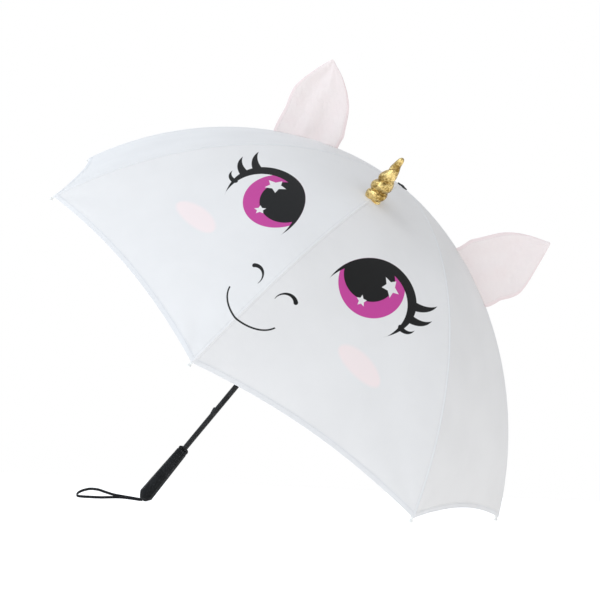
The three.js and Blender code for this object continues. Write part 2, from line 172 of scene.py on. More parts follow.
class FinishSheet(NodeSheet):
    """A material's node tree, round its Principled shader."""

    def __init__(self, name: str) -> None:
        """Starts an empty material with its Principled shader and output.

        Args:
            name: the material's name.
        """
        self.material = bpy.data.materials.new(name)
        self.material.use_nodes = True
        super().__init__(self.material.node_tree)
        self.tree.nodes.clear()
        output = self.tree.nodes.new("ShaderNodeOutputMaterial")
        self.shader = self.tree.nodes.new("ShaderNodeBsdfPrincipled")
        self.tree.links.new(self.shader.outputs["BSDF"], output.inputs["Surface"])

    def set(self, **sockets: object) -> None:
        """Sets or links the shader's sockets, named with underscores for spaces."""
        for name, value in sockets.items():
            self.put(self.shader.inputs[name.replace("_", " ")], value)

    def uv(self, layer: str) -> tuple[Socket, Socket]:
        """The two coordinates of one of the piece's own UV maps.

        Args:
            layer: the UV map's name.

        Returns:
            The sockets of its two coordinates.
        """
        node = self.tree.nodes.new("ShaderNodeUVMap")
        node.uv_map = layer
        split = self.tree.nodes.new("ShaderNodeSeparateXYZ")
        self.tree.links.new(node.outputs["UV"], split.inputs[0])
        return split.outputs["X"], split.outputs["Y"]

    def place(self, stretch: Point = (1.0, 1.0, 1.0)) -> Socket:
        """Object coordinates, multiplied by stretch along each axis.

        Args:
            stretch: what each axis is multiplied by.

        Returns:
            The socket of the stretched coordinates.
        """
        source = self.tree.nodes.new("ShaderNodeTexCoord")
        mapping = self.tree.nodes.new("ShaderNodeMapping")
        mapping.inputs["Scale"].default_value = stretch
        self.tree.links.new(source.outputs["Object"], mapping.inputs["Vector"])
        return mapping.outputs["Vector"]

    def noise(
        self, scale: float, detail: float = 3.0, stretch: Point = (1.0, 1.0, 1.0)
    ) -> Socket:
        """Noise over Object coordinates.

        Args:
            scale: the noise's scale, in cycles per metre.
            detail: how many finer layers it has.
            stretch: how much each axis is stretched first.

        Returns:
            The noise's value socket.
        """
        node = self.tree.nodes.new("ShaderNodeTexNoise")
        node.inputs["Scale"].default_value = scale
        node.inputs["Detail"].default_value = detail
        self.tree.links.new(self.place(stretch), node.inputs["Vector"])
        return node.outputs["Fac"]

    def bump(self, height: object, depth: float, strength: float = 1.0) -> None:
        """Gives the shader a bump from a height between 0 and 1 that stands for depth metres.

        Args:
            height: the height, 0 to 1.
            depth: what a height of 1 stands for, in metres.
            strength: how strongly the bump shows, 0 to 1.
        """
        node = self.tree.nodes.new("ShaderNodeBump")
        node.inputs["Strength"].default_value = strength
        node.inputs["Distance"].default_value = depth
        self.put(node.inputs["Height"], height)
        self.put(self.shader.inputs["Normal"], node.outputs["Normal"])

    def weave(self, across: object, along: object, pitch: float) -> Socket:
        """The height of a plain weave, 0 to 1.

        Args:
            across: the coordinate across the warp, in metres.
            along: the coordinate along the warp, in metres.
            pitch: the distance from thread to thread, in metres.

        Returns:
            The height's socket.
        """
        crossed = self.scaled(self.wave(across, pitch), self.wave(along, pitch))
        return self.math("MULTIPLY_ADD", crossed, 0.5, 0.5)

    def wave(self, coordinate: object, pitch: float) -> Socket:
        """A sine over a coordinate, with one turn in each pitch."""
        return self.math("SINE", self.math("MULTIPLY", coordinate, 2 * math.pi / pitch))

    def scaled(self, value: object, factor: object) -> Socket:
        """A value times a factor."""
        return self.math("MULTIPLY", value, factor)

    def spread(self, value: object, width: float, low: object) -> Socket:
        """A value between 0 and 1, spread over a width that starts at low."""
        return self.math("MULTIPLY_ADD", value, width, low)


# ---------- the printed face ----------

Mask = Socket


@dataclass(frozen=True)
class Oval:
    """An ellipse on the face's chart, in millimetres and degrees."""

    x: float
    y: float
    half_width: float
    half_height: float
    turn: float = 0.0


@dataclass(frozen=True)
class Stroke:
    """A tapered brush stroke along an arc, in millimetres and degrees.

    It runs from angle start to angle end round its centre, y downwards, and its half-width goes
    evenly from thick at the start to thin at the end.
    """

    x: float
    y: float
    radius: float
    start: float
    end: float
    thick: float
    thin: float


@dataclass(frozen=True)
class Star:
    """A five-pointed star, in millimetres and degrees."""

    x: float
    y: float
    radius: float
    turn: float
    notch: float = 0.5


@dataclass(frozen=True)
class FacePrint:
    """The face printed on the four half-gores beside the middle seam.

    Its chart has y along the seam from the top of the canopy and x to the side, both measured
    over the cloth. One eye, cheek and nostril are described, and the other side mirrors them.
    """

    outer_lid: Oval = Oval(97.2, 274.3, 72.7, 52.3, 117.1)
    inner_lid: Oval = Oval(95.4, 290.6, 50.2, 71.0, 23.5)
    iris: Oval = Oval(83.8, 260.5, 46.1, 53.8, 10.6)
    pupil: Oval = Oval(75.3, 258.5, 34.3, 40.0, 22.3)
    lashes: tuple[Stroke, ...] = (
        Stroke(102.3, 185.8, 53.5, 42.0, -3.0, 6.2, 0.1),
        Stroke(126.5, 208.0, 40.2, 56.0, -1.4, 6.4, 0.1),
        Stroke(145.2, 245.0, 19.0, 72.0, -3.2, 4.0, 0.1),
    )
    stars: tuple[Star, ...] = (Star(103.9, 242.3, 14.6, -94.0), Star(91.4, 292.8, 8.0, -127.0))
    nostril: Stroke = Stroke(27.3, 371.5, 13.4, -52.0, -190.0, 2.8, 0.3)
    smile: Oval = Oval(1.0, 394.0, 40.0, 25.5)
    smile_half_width: float = 1.05
    smile_top: float = 399.0
    cheek: Oval = Oval(153.0, 342.0, 38.0, 14.0, -19.0)
    cheek_edge: float = 3.0
    inner_tail: Pair = (41.0, 308.0)
    outer_tail: Pair = (147.5, 293.5)
    edge: float = 0.35
    seam_shift: float = 1.5
    seam_skew: float = 0.02
    ink: Colour = (0.007, 0.0075, 0.008, 1.0)
    magenta: Colour = (0.565, 0.062, 0.330, 1.0)
    blush: Colour = (0.91, 0.805, 0.80, 1.0)
    blush_strength: float = 0.95

    def paint(self, sheet: FinishSheet, cloth: object) -> tuple[object, Mask]:
        """Lays the print over the cloth's colour.

        Args:
            sheet: the material's node sheet.
            cloth: the plain cloth's colour.

        Returns:
            The printed colour, and the mask of where there is ink.
        """
        across, down = sheet.uv("Chart")
        x_all = sheet.math("MULTIPLY_ADD", across, 1 / MM, -self.seam_shift)
        y_all = sheet.math("MULTIPLY", down, 1 / MM)
        y = sheet.math("SUBTRACT", y_all, sheet.math("MULTIPLY", x_all, self.seam_skew))
        x = sheet.math("ABSOLUTE", x_all)
        brush = Brush(sheet, x, y, self.edge)
        opening = brush.oval(self.outer_lid)
        white = sheet.math("MULTIPLY", opening, brush.oval(self.inner_lid))
        tails = sheet.math("MULTIPLY", opening, sheet.math("SUBTRACT", 1.0, white))
        upper = brush.above(self.lid_line())
        lid = sheet.math("MULTIPLY", tails, upper)
        iris = sheet.math("MULTIPLY", brush.oval(self.iris), opening)
        pupil = sheet.math("MULTIPLY", brush.oval(self.pupil), opening)
        black = sheet.math("MAXIMUM", lid, pupil)
        for stroke in (*self.lashes, self.nostril):
            black = sheet.math("MAXIMUM", black, brush.stroke(stroke))
        smile = Brush(sheet, x_all, y, self.edge).rim(
            self.smile, self.smile_half_width, self.smile_top
        )
        black = sheet.math("MAXIMUM", black, smile)
        stars = brush.star(self.stars[0])
        for star in self.stars[1:]:
            stars = sheet.math("MAXIMUM", stars, brush.star(star))
        cheek = sheet.math("MULTIPLY", brush.oval(self.cheek, self.cheek_edge), self.blush_strength)
        colour = sheet.blend(cheek, cloth, self.blush)
        colour = sheet.blend(iris, colour, self.magenta)
        colour = sheet.blend(black, colour, self.ink)
        colour = sheet.blend(stars, colour, cloth)
        inked = sheet.math("MAXIMUM", black, iris)
        return colour, sheet.math("SUBTRACT", inked, stars, clamp=True)

    def lid_line(self) -> tuple[float, float]:
        """The line under the two tails of the lid, as its height at x 0 and its slope.

        Returns:
            The height and the slope.
        """
        (inner_x, inner_y), (outer_x, outer_y) = self.inner_tail, self.outer_tail
        slope = (outer_y - inner_y) / (outer_x - inner_x)
        return inner_y - slope * inner_x, slope


class Brush:
    """Draws masks, 1 inside and 0 outside, from chart coordinates in millimetres."""

    LEAST_STEEPNESS = 1e-4
    STAR_POINTS = 5

    def __init__(self, sheet: NodeSheet, x: Mask, y: Mask, edge: float) -> None:
        """Keeps the sheet, the chart's coordinates and the width of an ink edge.

        Args:
            sheet: the node sheet that the masks go into.
            x: the chart's coordinate to the side.
            y: the chart's coordinate downwards.
            edge: half the width of a soft ink edge.
        """
        self.sheet = sheet
        self.x = x
        self.y = y
        self.edge = edge

    def turned(self, x: float, y: float, turn: float) -> tuple[Mask, Mask]:
        """The coordinates about a point, turned by some degrees.

        Args:
            x: the point's x.
            y: the point's y.
            turn: the angle from x towards y.

        Returns:
            The coordinates along and across the turned axis.
        """
        math_node = self.sheet.math
        cosine, sine = math.cos(math.radians(turn)), math.sin(math.radians(turn))
        dx = math_node("SUBTRACT", self.x, x)
        dy = math_node("SUBTRACT", self.y, y)
        u = math_node("MULTIPLY_ADD", dx, cosine, math_node("MULTIPLY", dy, sine))
        v = math_node("MULTIPLY_ADD", dy, cosine, math_node("MULTIPLY", dx, -sine))
        return u, v

    def inside(self, distance: Mask, edge: float | None = None) -> Mask:
        """The mask of a distance to an outline that is positive inside it."""
        edge = edge or self.edge
        return self.sheet.ramp(distance, -edge, edge)

    def away(self, shape: Oval) -> Mask:
        """The rough distance to an oval's outline, positive inside.

        Args:
            shape: the oval.

        Returns:
            The distance's socket, in millimetres.
        """
        math_node = self.sheet.math
        u, v = self.turned(shape.x, shape.y, shape.turn)
        a, b = shape.half_width, shape.half_height
        reach = self.length(math_node("DIVIDE", u, a), math_node("DIVIDE", v, b))
        steep = self.length(math_node("DIVIDE", u, a * a), math_node("DIVIDE", v, b * b))
        short = math_node("MULTIPLY", math_node("SUBTRACT", 1.0, reach), reach)
        return math_node("DIVIDE", short, math_node("MAXIMUM", steep, self.LEAST_STEEPNESS))

    def length(self, u: Mask, v: Mask) -> Mask:
        """The length of a flat vector.

        Args:
            u: its first part.
            v: its second part.

        Returns:
            The length's socket.
        """
        math_node = self.sheet.math
        square = math_node("MULTIPLY_ADD", u, u, math_node("MULTIPLY", v, v))
        return math_node("SQRT", square)

    def oval(self, shape: Oval, edge: float | None = None) -> Mask:
        """The mask of a filled oval."""
        return self.inside(self.away(shape), edge)

    def rim(self, shape: Oval, half_width: float, top: float) -> Mask:
        """The mask of an oval's outline below the height top.

        Args:
            shape: the oval.
            half_width: half the line's width.
            top: the y below which it is drawn.

        Returns:
            The mask's socket.
        """
        math_node = self.sheet.math
        off = math_node("ABSOLUTE", self.away(shape))
        line = self.inside(math_node("SUBTRACT", half_width, off))
        return math_node("MULTIPLY", line, self.inside(math_node("SUBTRACT", self.y, top)))

    def above(self, line: tuple[float, float]) -> Mask:
        """The mask of what lies above a line given by its height at x 0 and its slope.

        Args:
            line: the line's height and slope.

        Returns:
            The mask's socket.
        """
        math_node = self.sheet.math
        limit = math_node("MULTIPLY_ADD", self.x, line[1], line[0])
        return self.inside(math_node("SUBTRACT", limit, self.y))

    def stroke(self, shape: Stroke) -> Mask:
        """The mask of a tapered stroke along an arc.

        Args:
            shape: the stroke.

        Returns:
            The mask's socket.
        """
        math_node = self.sheet.math
        middle = (shape.start + shape.end) / 2
        half = math.radians(abs(shape.end - shape.start) / 2)
        u, v = self.turned(shape.x, shape.y, middle)
        angle = math_node("MINIMUM", math_node("ARCTAN2", v, u), half)
        angle = math_node("MAXIMUM", angle, -half)
        onward = math.copysign(1 / (2 * half), shape.end - shape.start)
        along = math_node("MULTIPLY_ADD", angle, onward, 0.5)
        width = math_node("MULTIPLY_ADD", along, shape.thin - shape.thick, shape.thick)
        off_u = math_node("MULTIPLY_ADD", math_node("COSINE", angle), -shape.radius, u)
        off_v = math_node("MULTIPLY_ADD", math_node("SINE", angle), -shape.radius, v)
        return self.inside(math_node("SUBTRACT", width, self.length(off_u, off_v)))

    def star(self, shape: Star) -> Mask:
        """The mask of a filled star.

        Args:
            shape: the star.

        Returns:
            The mask's socket.
        """
        math_node = self.sheet.math
        fifth = 2 * math.pi / self.STAR_POINTS
        u, v = self.turned(shape.x, shape.y, shape.turn)
        angle = math_node("ADD", math_node("ARCTAN2", v, u), 2 * math.pi + fifth / 2)
        turned = math_node("MODULO", angle, fifth)
        fold = math_node("ABSOLUTE", math_node("SUBTRACT", turned, fifth / 2))
        reach = self.length(u, v)
        px = math_node("MULTIPLY", reach, math_node("COSINE", fold))
        py = math_node("MULTIPLY", reach, math_node("SINE", fold))
        notch = shape.radius * shape.notch
        nx, ny = notch * math.cos(fifth / 2), notch * math.sin(fifth / 2)
        edge = Vector((nx - shape.radius, ny)).normalized()
        short = math_node("MULTIPLY", math_node("SUBTRACT", shape.radius, px), edge.y)
        return self.inside(math_node("MULTIPLY_ADD", py, edge.x, short))


# ---------- finishes ----------


STITCH_GREY = (0.5, 0.5, 0.52, 1.0)
THREAD_PITCH = 0.42 * MM


@dataclass(frozen=True)
class CanopyCloth:
    """White pongee with topstitching and small puckers beside the seams.

    The print is how strongly the face shows: 0 on plain cloth, 1 on the outside of a printed
    gore, and less on its inside, where the ink shows through. The heights of the puckers, the
    threads and the stitches are in thread depths.
    """

    name: str
    print_strength: float = 0.0
    colour: Colour = (0.825, 0.820, 0.816, 1.0)
    dim_part: float = 0.965
    mottle_scale: float = 14.0
    mottle_step: Pair = (0.3, 0.7)
    grain_scale: float = 900.0
    roughness: float = 0.62
    roughness_spread: float = 0.12
    ink_gloss: float = 0.16
    sheen: float = 0.03
    thread_depth: float = 0.06 * MM
    thread_height: float = 0.5
    stitch_at: float = 2.6 * MM
    stitch_strength: float = 0.22
    stitch_height: float = 1.4
    pucker_pitch: float = 11 * MM
    pucker_reach: Pair = (1.5 * MM, 14 * MM)
    pucker_scale: float = 60.0
    pucker_height: float = 3.2

    def material(self) -> bpy.types.Material:
        """Builds the material.

        Returns:
            The material.
        """
        sheet = FinishSheet(self.name)
        across, along = sheet.uv("Cut")
        mottle = sheet.ramp(sheet.noise(self.mottle_scale, detail=4.0), *self.mottle_step)
        dim = tuple(self.dim_part * part for part in self.colour[:3]) + (1.0,)
        colour: object = sheet.blend(mottle, dim, self.colour)
        stitch = Stitching(self.stitch_at).mask(sheet, across, along)
        colour = sheet.blend(sheet.scaled(stitch, self.stitch_strength), colour, STITCH_GREY)
        grain = sheet.noise(self.grain_scale, detail=2.0)
        roughness: object = sheet.spread(grain, self.roughness_spread, self.roughness)
        if self.print_strength:
            inked, ink = FacePrint().paint(sheet, colour)
            colour = sheet.blend(self.print_strength, colour, inked)
            roughness = sheet.spread(ink, -self.ink_gloss, roughness)
        near = sheet.math("SUBTRACT", 1.0, sheet.ramp(across, *self.pucker_reach))
        pucker = sheet.scaled(sheet.wave(along, self.pucker_pitch), near)
        pucker = sheet.scaled(pucker, sheet.noise(self.pucker_scale))
        threads = sheet.scaled(sheet.weave(across, along, THREAD_PITCH), self.thread_height)
        height = sheet.spread(pucker, self.pucker_height, threads)
        height = sheet.math("SUBTRACT", height, sheet.scaled(stitch, self.stitch_height))
        sheet.bump(height, self.thread_depth)
        sheet.set(Base_Color=colour, Roughness=roughness, Specular_IOR_Level=0.25)
        sheet.set(Sheen_Weight=self.sheen, Sheen_Roughness=0.45, Sheen_Tint=(1.0, 1.0, 1.0, 1.0))
        return sheet.material


@dataclass(frozen=True)
class Stitching:
    """A row of stitches at a distance from an edge."""

    distance: float
    length: float = 0.0026
    gap: float = 0.25
    half_width: float = 0.00028

    def mask(self, sheet: FinishSheet, across: Mask, along: Mask) -> Mask:
        """The mask of the stitches.

        Args:
            sheet: the material's node sheet.
            across: the distance from the edge.
            along: the distance along the edge.

        Returns:
            The mask's socket.
        """
        off = sheet.math("ABSOLUTE", sheet.math("SUBTRACT", across, self.distance))
        row = sheet.math("LESS_THAN", off, self.half_width)
        phase = sheet.math("FRACT", sheet.math("DIVIDE", along, self.length))
        return sheet.math("MULTIPLY", row, sheet.math("GREATER_THAN", phase, self.gap))


@dataclass(frozen=True)
class Hemming:
    """The folded and stitched edge of the canopy cloth."""

    name: str = "hemmed_cloth"
    colour: Colour = (0.79, 0.793, 0.80, 1.0)
    stitch_at: float = 5.2 * MM
    stitch_strength: float = 0.3
    stitch_height: float = 2.0
    thread_depth: float = 0.05 * MM
    grain_scale: float = 700.0
    roughness: float = 0.62
    roughness_spread: float = 0.14
    sheen: float = 0.12

    def material(self) -> bpy.types.Material:
        """Builds the material.

        Returns:
            The material.
        """
        sheet = FinishSheet(self.name)
        across, along = sheet.uv("Cut")
        stitch = Stitching(self.stitch_at).mask(sheet, along, across)
        colour = sheet.blend(sheet.scaled(stitch, self.stitch_strength), self.colour, STITCH_GREY)
        threads = sheet.weave(across, along, THREAD_PITCH)
        height = sheet.math("SUBTRACT", threads, sheet.scaled(stitch, self.stitch_height))
        sheet.bump(height, self.thread_depth)
        grain = sheet.noise(self.grain_scale, detail=2.0)
        roughness = sheet.spread(grain, self.roughness_spread, self.roughness)
        sheet.set(Base_Color=colour, Roughness=roughness, Sheen_Weight=self.sheen)
        return sheet.material


@dataclass(frozen=True)
class EarCloth:
    """Pale pink satin with a slightly pinker border where its edges are turned.

    Widths and lengths in its border are shares of the ear's width and height.
    """

    name: str = "ear_satin"
    pink: Colour = (0.83, 0.755, 0.735, 1.0)
    border: Colour = (0.82, 0.700, 0.690, 1.0)
    seam: Colour = (0.45, 0.36, 0.37, 1.0)
    seam_strength: float = 0.18
    mottle: float = 0.35
    mottle_scale: float = 45.0
    mottle_step: Pair = (0.25, 0.75)
    border_width: float = 0.055
    border_fade: float = 0.6
    stitch_length: float = 0.03
    stitch_gap: float = 0.25
    stitch_half_width: float = 0.004
    crease_scale: float = 38.0
    crease_stretch: Point = (1.0, 1.0, 0.45)
    crease_depth: float = 4.5 * MM
    crease_strength: float = 0.9
    grain_scale: float = 2400.0
    grain_height: float = 0.04
    roughness: float = 0.46
    roughness_spread: float = 0.12
    sheen: float = 0.3

    def material(self) -> bpy.types.Material:
        """Builds the material.

        Returns:
            The material.
        """
        sheet = FinishSheet(self.name)
        rise, span = sheet.uv("Cut")
        edge = sheet.math("MINIMUM", span, sheet.math("SUBTRACT", 1.0, span))
        inner = sheet.ramp(edge, self.border_width * self.border_fade, self.border_width)
        soft = sheet.ramp(sheet.noise(self.mottle_scale, detail=5.0), *self.mottle_step)
        pink = sheet.blend(sheet.scaled(soft, self.mottle), self.pink, self.border)
        colour = sheet.blend(inner, self.border, pink)
        row = Stitching(
            self.border_width, self.stitch_length, self.stitch_gap, self.stitch_half_width
        )
        stitch = row.mask(sheet, edge, rise)
        colour = sheet.blend(sheet.scaled(stitch, self.seam_strength), colour, self.seam)
        crease = sheet.noise(self.crease_scale, detail=4.0, stretch=self.crease_stretch)
        grain = sheet.scaled(sheet.noise(self.grain_scale), self.grain_height)
        sheet.bump(sheet.math("ADD", crease, grain), self.crease_depth, self.crease_strength)
        roughness = sheet.spread(soft, self.roughness_spread, self.roughness)
        sheet.set(Base_Color=colour, Roughness=roughness, Sheen_Weight=self.sheen)
        sheet.set(Sheen_Roughness=0.4, Sheen_Tint=(1.0, 0.95, 0.95, 1.0))
        return sheet.material


@dataclass(frozen=True)
class GoldLame:
    """Creased metallic cloth, its colour darker in the low creases of its bump and lighter on the
    raised crinkles: painted shade and painted dark reflection in the creases, and a painted
    highlight on the crinkles.
    """

    name: str = "gold_lame"
    # deep is the painted crease shade and dark reflection, light the painted highlight on the
    # crinkles.
    deep: Colour = (0.26, 0.15, 0.028, 1.0)
    light: Colour = (0.90, 0.68, 0.28, 1.0)
    crinkle_scale: float = 75.0
    crinkle_part: float = 0.65
    crinkle_depth: float = 3.4 * MM
    fine_scale: float = 380.0
    fine_part: float = 0.35
    fine_height: float = 0.3
    tone_from: float = 0.38
    tone_to: float = 0.60
    roughness: float = 0.06
    roughness_spread: float = 0.16
    metallic: float = 0.92

    def material(self) -> bpy.types.Material:
        """Builds the material.

        Returns:
            The material.
        """
        sheet = FinishSheet(self.name)
        crinkle = sheet.noise(self.crinkle_scale, detail=5.0)
        fine = sheet.noise(self.fine_scale, detail=3.0)
        mixed = sheet.spread(fine, self.fine_part, sheet.scaled(crinkle, self.crinkle_part))
        # Painted shade and dark reflection where the bump is low, painted highlight where it is
        # high.
        colour = sheet.blend(
            sheet.ramp(mixed, self.tone_from, self.tone_to), self.deep, self.light
        )
        roughness = sheet.spread(fine, self.roughness_spread, self.roughness)
        sheet.bump(sheet.spread(fine, self.fine_height, crinkle), self.crinkle_depth)
        sheet.set(Base_Color=colour, Roughness=roughness, Metallic=self.metallic)
        return sheet.material


@dataclass(frozen=True)
class PlainFinish:
    """A painted, moulded or drawn surface with fine mottling and a fine grain.

    The grain is how deep its bump is in metres, and wear lightens the colour in patches.
    """

    name: str
    colour: Colour
    roughness: float
    metallic: float = 0.0
    grain: float = 0.02 * MM
    grain_scale: float = 900.0
    wear: float = 0.15
    wear_lift: float = 0.01
    patch_scale: float = 55.0
    patch_step: Pair = (0.35, 0.72)
    roughness_spread: float = 0.14
    coat: float = 0.0
    coat_roughness: float = 0.12
    shine: float = 0.5

    def material(self) -> bpy.types.Material:
        """Builds the material.

        Returns:
            The material.
        """
        sheet = FinishSheet(self.name)
        lift = self.wear_lift * self.wear
        light = tuple(min(1.0, part * (1 + self.wear) + lift) for part in self.colour[:3])
        patches = sheet.ramp(sheet.noise(self.patch_scale, detail=5.0), *self.patch_step)
        colour = sheet.blend(patches, self.colour, (*light, 1.0))
        fine = sheet.noise(self.grain_scale, detail=3.0)
        sheet.bump(fine, self.grain)
        smoothest = self.roughness - self.roughness_spread / 2
        roughness = sheet.spread(fine, self.roughness_spread, smoothest)
        sheet.set(Base_Color=colour, Roughness=roughness, Metallic=self.metallic)
        sheet.set(Specular_IOR_Level=self.shine)
        if self.coat:
            sheet.set(Coat_Weight=self.coat, Coat_Roughness=self.coat_roughness)
        return sheet.material


@dataclass(frozen=True)
class Webbing:
    """Flat woven cord, with ribs across it."""

    name: str = "black_webbing"
    colour: Colour = (0.007, 0.007, 0.008, 1.0)
    worn: Colour = (0.020, 0.020, 0.023, 1.0)
    rib_pitch: float = 0.9 * MM
    rib_depth: float = 0.12 * MM
    threads_around: int = 14
    fuzz_scale: float = 1500.0
    fuzz_step: Pair = (0.4, 0.75)
    roughness: float = 0.72
    roughness_spread: float = 0.15
    shine: float = 0.15

    def material(self) -> bpy.types.Material:
        """Builds the material.

        Returns:
            The material.
        """
        sheet = FinishSheet(self.name)
        along, around = sheet.uv("Cut")
        ribs = sheet.scaled(
            sheet.wave(along, self.rib_pitch), sheet.wave(around, 1 / self.threads_around)
        )
        sheet.bump(sheet.spread(ribs, 0.5, 0.5), self.rib_depth)
        fuzz = sheet.noise(self.fuzz_scale, detail=3.0)
        colour = sheet.blend(sheet.ramp(fuzz, *self.fuzz_step), self.colour, self.worn)
        roughness = sheet.spread(fuzz, self.roughness_spread, self.roughness)
        sheet.set(Base_Color=colour, Roughness=roughness, Specular_IOR_Level=self.shine)
        return sheet.material


BLACK_STEEL = PlainFinish("black_steel", (0.006, 0.006, 0.0065, 1.0), 0.45, wear=0.6, shine=0.2)
BLACK_PLASTIC = PlainFinish(
    "black_plastic", (0.007, 0.008, 0.008, 1.0), 0.5, grain=0.04 * MM, wear=0.35, shine=0.25
)
GRIP_PLASTIC = PlainFinish(
    "grip_plastic", (0.006, 0.0065, 0.007, 1.0), 0.6, grain=0.03 * MM, grain_scale=1400.0, wear=0.35,
    shine=0.12,
)
WHITE_PLASTIC = PlainFinish("white_plastic", (0.80, 0.80, 0.78, 1.0), 0.28, wear=0.05, coat=0.3)
BRIGHT_STEEL = PlainFinish("bright_steel", (0.55, 0.56, 0.57, 1.0), 0.3, 1.0, wear=0.1)
GOLD_THREAD = PlainFinish("gold_thread", (0.26, 0.15, 0.035, 1.0), 0.4, 0.6, grain_scale=2500.0)
PALE_FLOOR = PlainFinish("pale_floor", (0.90, 0.90, 0.90, 1.0), 0.85, grain=0.1 * MM, wear=0.01)


# ---------- shapes ----------


@dataclass(frozen=True)
class SeamCurve:
    """The curve of a canopy seam over its rib, in the rib's own radial plane."""

    hinge_radius: float = 9.6 * MM
    rib_length: float = 480 * MM
    tip_slope: float = 1.08
    slope_power: float = 0.81
    step: float = 1 * MM
    table: list[Pair] = field(default_factory=list)

    def __post_init__(self) -> None:
        """Adds the curve up from the axis outwards."""
        self.table.append((0.0, 0.0))
        for index in range(round((self.hinge_radius + self.rib_length) / self.step) + 2):
            radius, height = self.table[-1]
            slope = self.slope((index + 0.5) * self.step)
            place = radius + self.step * math.cos(slope), height - self.step * math.sin(slope)
            self.table.append(place)

    def slope(self, along: float) -> float:
        """The slope below level at a distance along the seam from the axis."""
        part = max(0.0, (along - self.hinge_radius) / self.rib_length)
        return self.tip_slope * part**self.slope_power

    def at(self, along: float, drop: float = 0.0) -> Pair:
        """Radius and height at a distance along the seam, moved down its normal by drop.

        Args:
            along: the distance along the seam from the axis.
            drop: how far below the seam the point is.

        Returns:
            The radius and the height.
        """
        index = min(int(along / self.step), len(self.table) - 2)
        part = along / self.step - index
        (r0, z0), (r1, z1) = self.table[index], self.table[index + 1]
        slope = self.slope(along)
        radius = r0 + part * (r1 - r0) - drop * math.sin(slope)
        return radius, z0 + part * (z1 - z0) - drop * math.cos(slope)


SEAM = SeamCurve()


def radial(angle: float, radius: float, height: float, aside: float = 0.0) -> Vector:
    """A point in the umbrella's frame from its azimuth, radius, height and offset to the side.

    Args:
        angle: the azimuth.
        radius: the distance from the axis.
        height: the height along the axis.
        aside: the distance to the side, towards growing azimuth.

    Returns:
        The point.
    """
    cosine, sine = math.cos(angle), math.sin(angle)
    return Vector((radius * cosine - aside * sine, radius * sine + aside * cosine, height))


def finish_mesh(
    shape: bmesh.types.BMesh, name: str, finish: bpy.types.Material, smooth: bool = True
) -> bpy.types.Object:
    """Leans a shape into the row frame and makes it an object at the origin.

    Args:
        shape: the shape, in the umbrella's frame. It is freed.
        name: the piece's name.
        finish: its material.
        smooth: whether its faces are shaded smooth.

    Returns:
        The new object.
    """
    shape.transform(TO_ROW)
    for face in shape.faces:
        face.smooth = smooth
    mesh = bpy.data.meshes.new(name)
    shape.to_mesh(mesh)
    shape.free()
    mesh.materials.append(finish)
    piece = bpy.data.objects.new(name, mesh)
    bpy.context.scene.collection.objects.link(piece)
    log.info("%s: %d faces", name, len(mesh.polygons))
    return piece


def warped_grid(across: int, along: int) -> bmesh.types.BMesh:
    """A unit grid whose corners are at (0, 0) and (1, 1), for a piece to bend into shape.

    Args:
        across: the number of steps along x.
        along: the number of steps along y.

    Returns:
        The grid, with its outer edges marked sharp.
    """
    grid = bmesh.new()
    bmesh.ops.create_grid(grid, x_segments=across, y_segments=along, size=0.5)
    bmesh.ops.translate(grid, verts=grid.verts, vec=(0.5, 0.5, 0.0))
    grid.verts.index_update()
    for edge in grid.edges:
        edge.smooth = not edge.is_boundary
    return grid


WELD = 0.001 * MM


def turned_shape(profile: list[Pair], steps: int) -> bmesh.types.BMesh:
    """A closed solid turned about z.

    Args:
        profile: (radius, height) points, the first and last of them on the axis.
        steps: how many steps there are round it.

    Returns:
        The shape, with its faces outwards.
    """
    shape = bmesh.new()
    points = [shape.verts.new((radius, 0.0, height)) for radius, height in profile]
    edges = [shape.edges.new(pair) for pair in zip(points, points[1:])]
    bmesh.ops.spin(
        shape, geom=[*points, *edges], cent=(0, 0, 0), axis=(0, 0, 1), angle=2 * math.pi,
        steps=steps, use_merge=True,
    )
    bmesh.ops.remove_doubles(shape, verts=shape.verts, dist=WELD)
    bmesh.ops.recalc_face_normals(shape, faces=shape.faces)
    return shape


def in_metres(profile: tuple[Pair, ...]) -> list[Pair]:
    """A profile's points in metres, from millimetres."""
    return [(first * MM, second * MM) for first, second in profile]


def on_curve(knots: list[Vector], reach: float) -> Vector:
    """A point on the smooth curve through some knots.

    Args:
        knots: the points that the curve goes through.
        reach: how far along it the point is, in knots from the first.

    Returns:
        The point.
    """
    index = min(int(reach), len(knots) - 2)
    part = reach - index
    before = knots[index - 1] if index else 2 * knots[0] - knots[1]
    after = knots[index + 2] if index + 2 < len(knots) else 2 * knots[-1] - knots[-2]
    a, b = knots[index], knots[index + 1]
    pull_a, pull_b = (b - before) / 2, (after - a) / 2
    square, cube = part**2, part**3
    return (
        a * (2 * cube - 3 * square + 1) + pull_a * (cube - 2 * square + part)
        + b * (3 * square - 2 * cube) + pull_b * (cube - square)
    )


def ring_edges(ring: list[bmesh.types.BMVert]) -> list[bmesh.types.BMEdge]:
    """The edges between a ring's vertices."""
    return list({edge for vertex in ring for edge in vertex.link_edges})


def close_tube(shape: bmesh.types.BMesh, rings: list[list[bmesh.types.BMEdge]]) -> None:
    """Bridges each ring to the next, closes both ends and turns the faces outwards.

    Args:
        shape: the shape that the rings are in.
        rings: the edges of each ring, in order along the tube.
    """
    for first, second in zip(rings, rings[1:]):
        bmesh.ops.bridge_loops(shape, edges=[*first, *second])
    bmesh.ops.holes_fill(shape, edges=[e for e in shape.edges if e.is_boundary], sides=0)
    bmesh.ops.recalc_face_normals(shape, faces=shape.faces)


def creased(piece: bpy.types.Object, degrees: float = 35.0) -> bpy.types.Object:
    """Keeps the edges sharper than some angle crisp under smooth shading."""
    piece.data.set_sharp_from_angle(angle=math.radians(degrees))
    return piece


# ---------- canopy ----------


@dataclass(frozen=True)
class Spot:
    """A spot on the cloth beside a rib, for one corner of a piece's grid.

    Aside is below 0 on the minus side. Cut is the spot's place on the cut cloth, and stand is
    how far the piece stands off the cloth there.
    """

    along: float
    aside: float
    cut: Pair
    stand: float = 0.0
    folded: bool = True


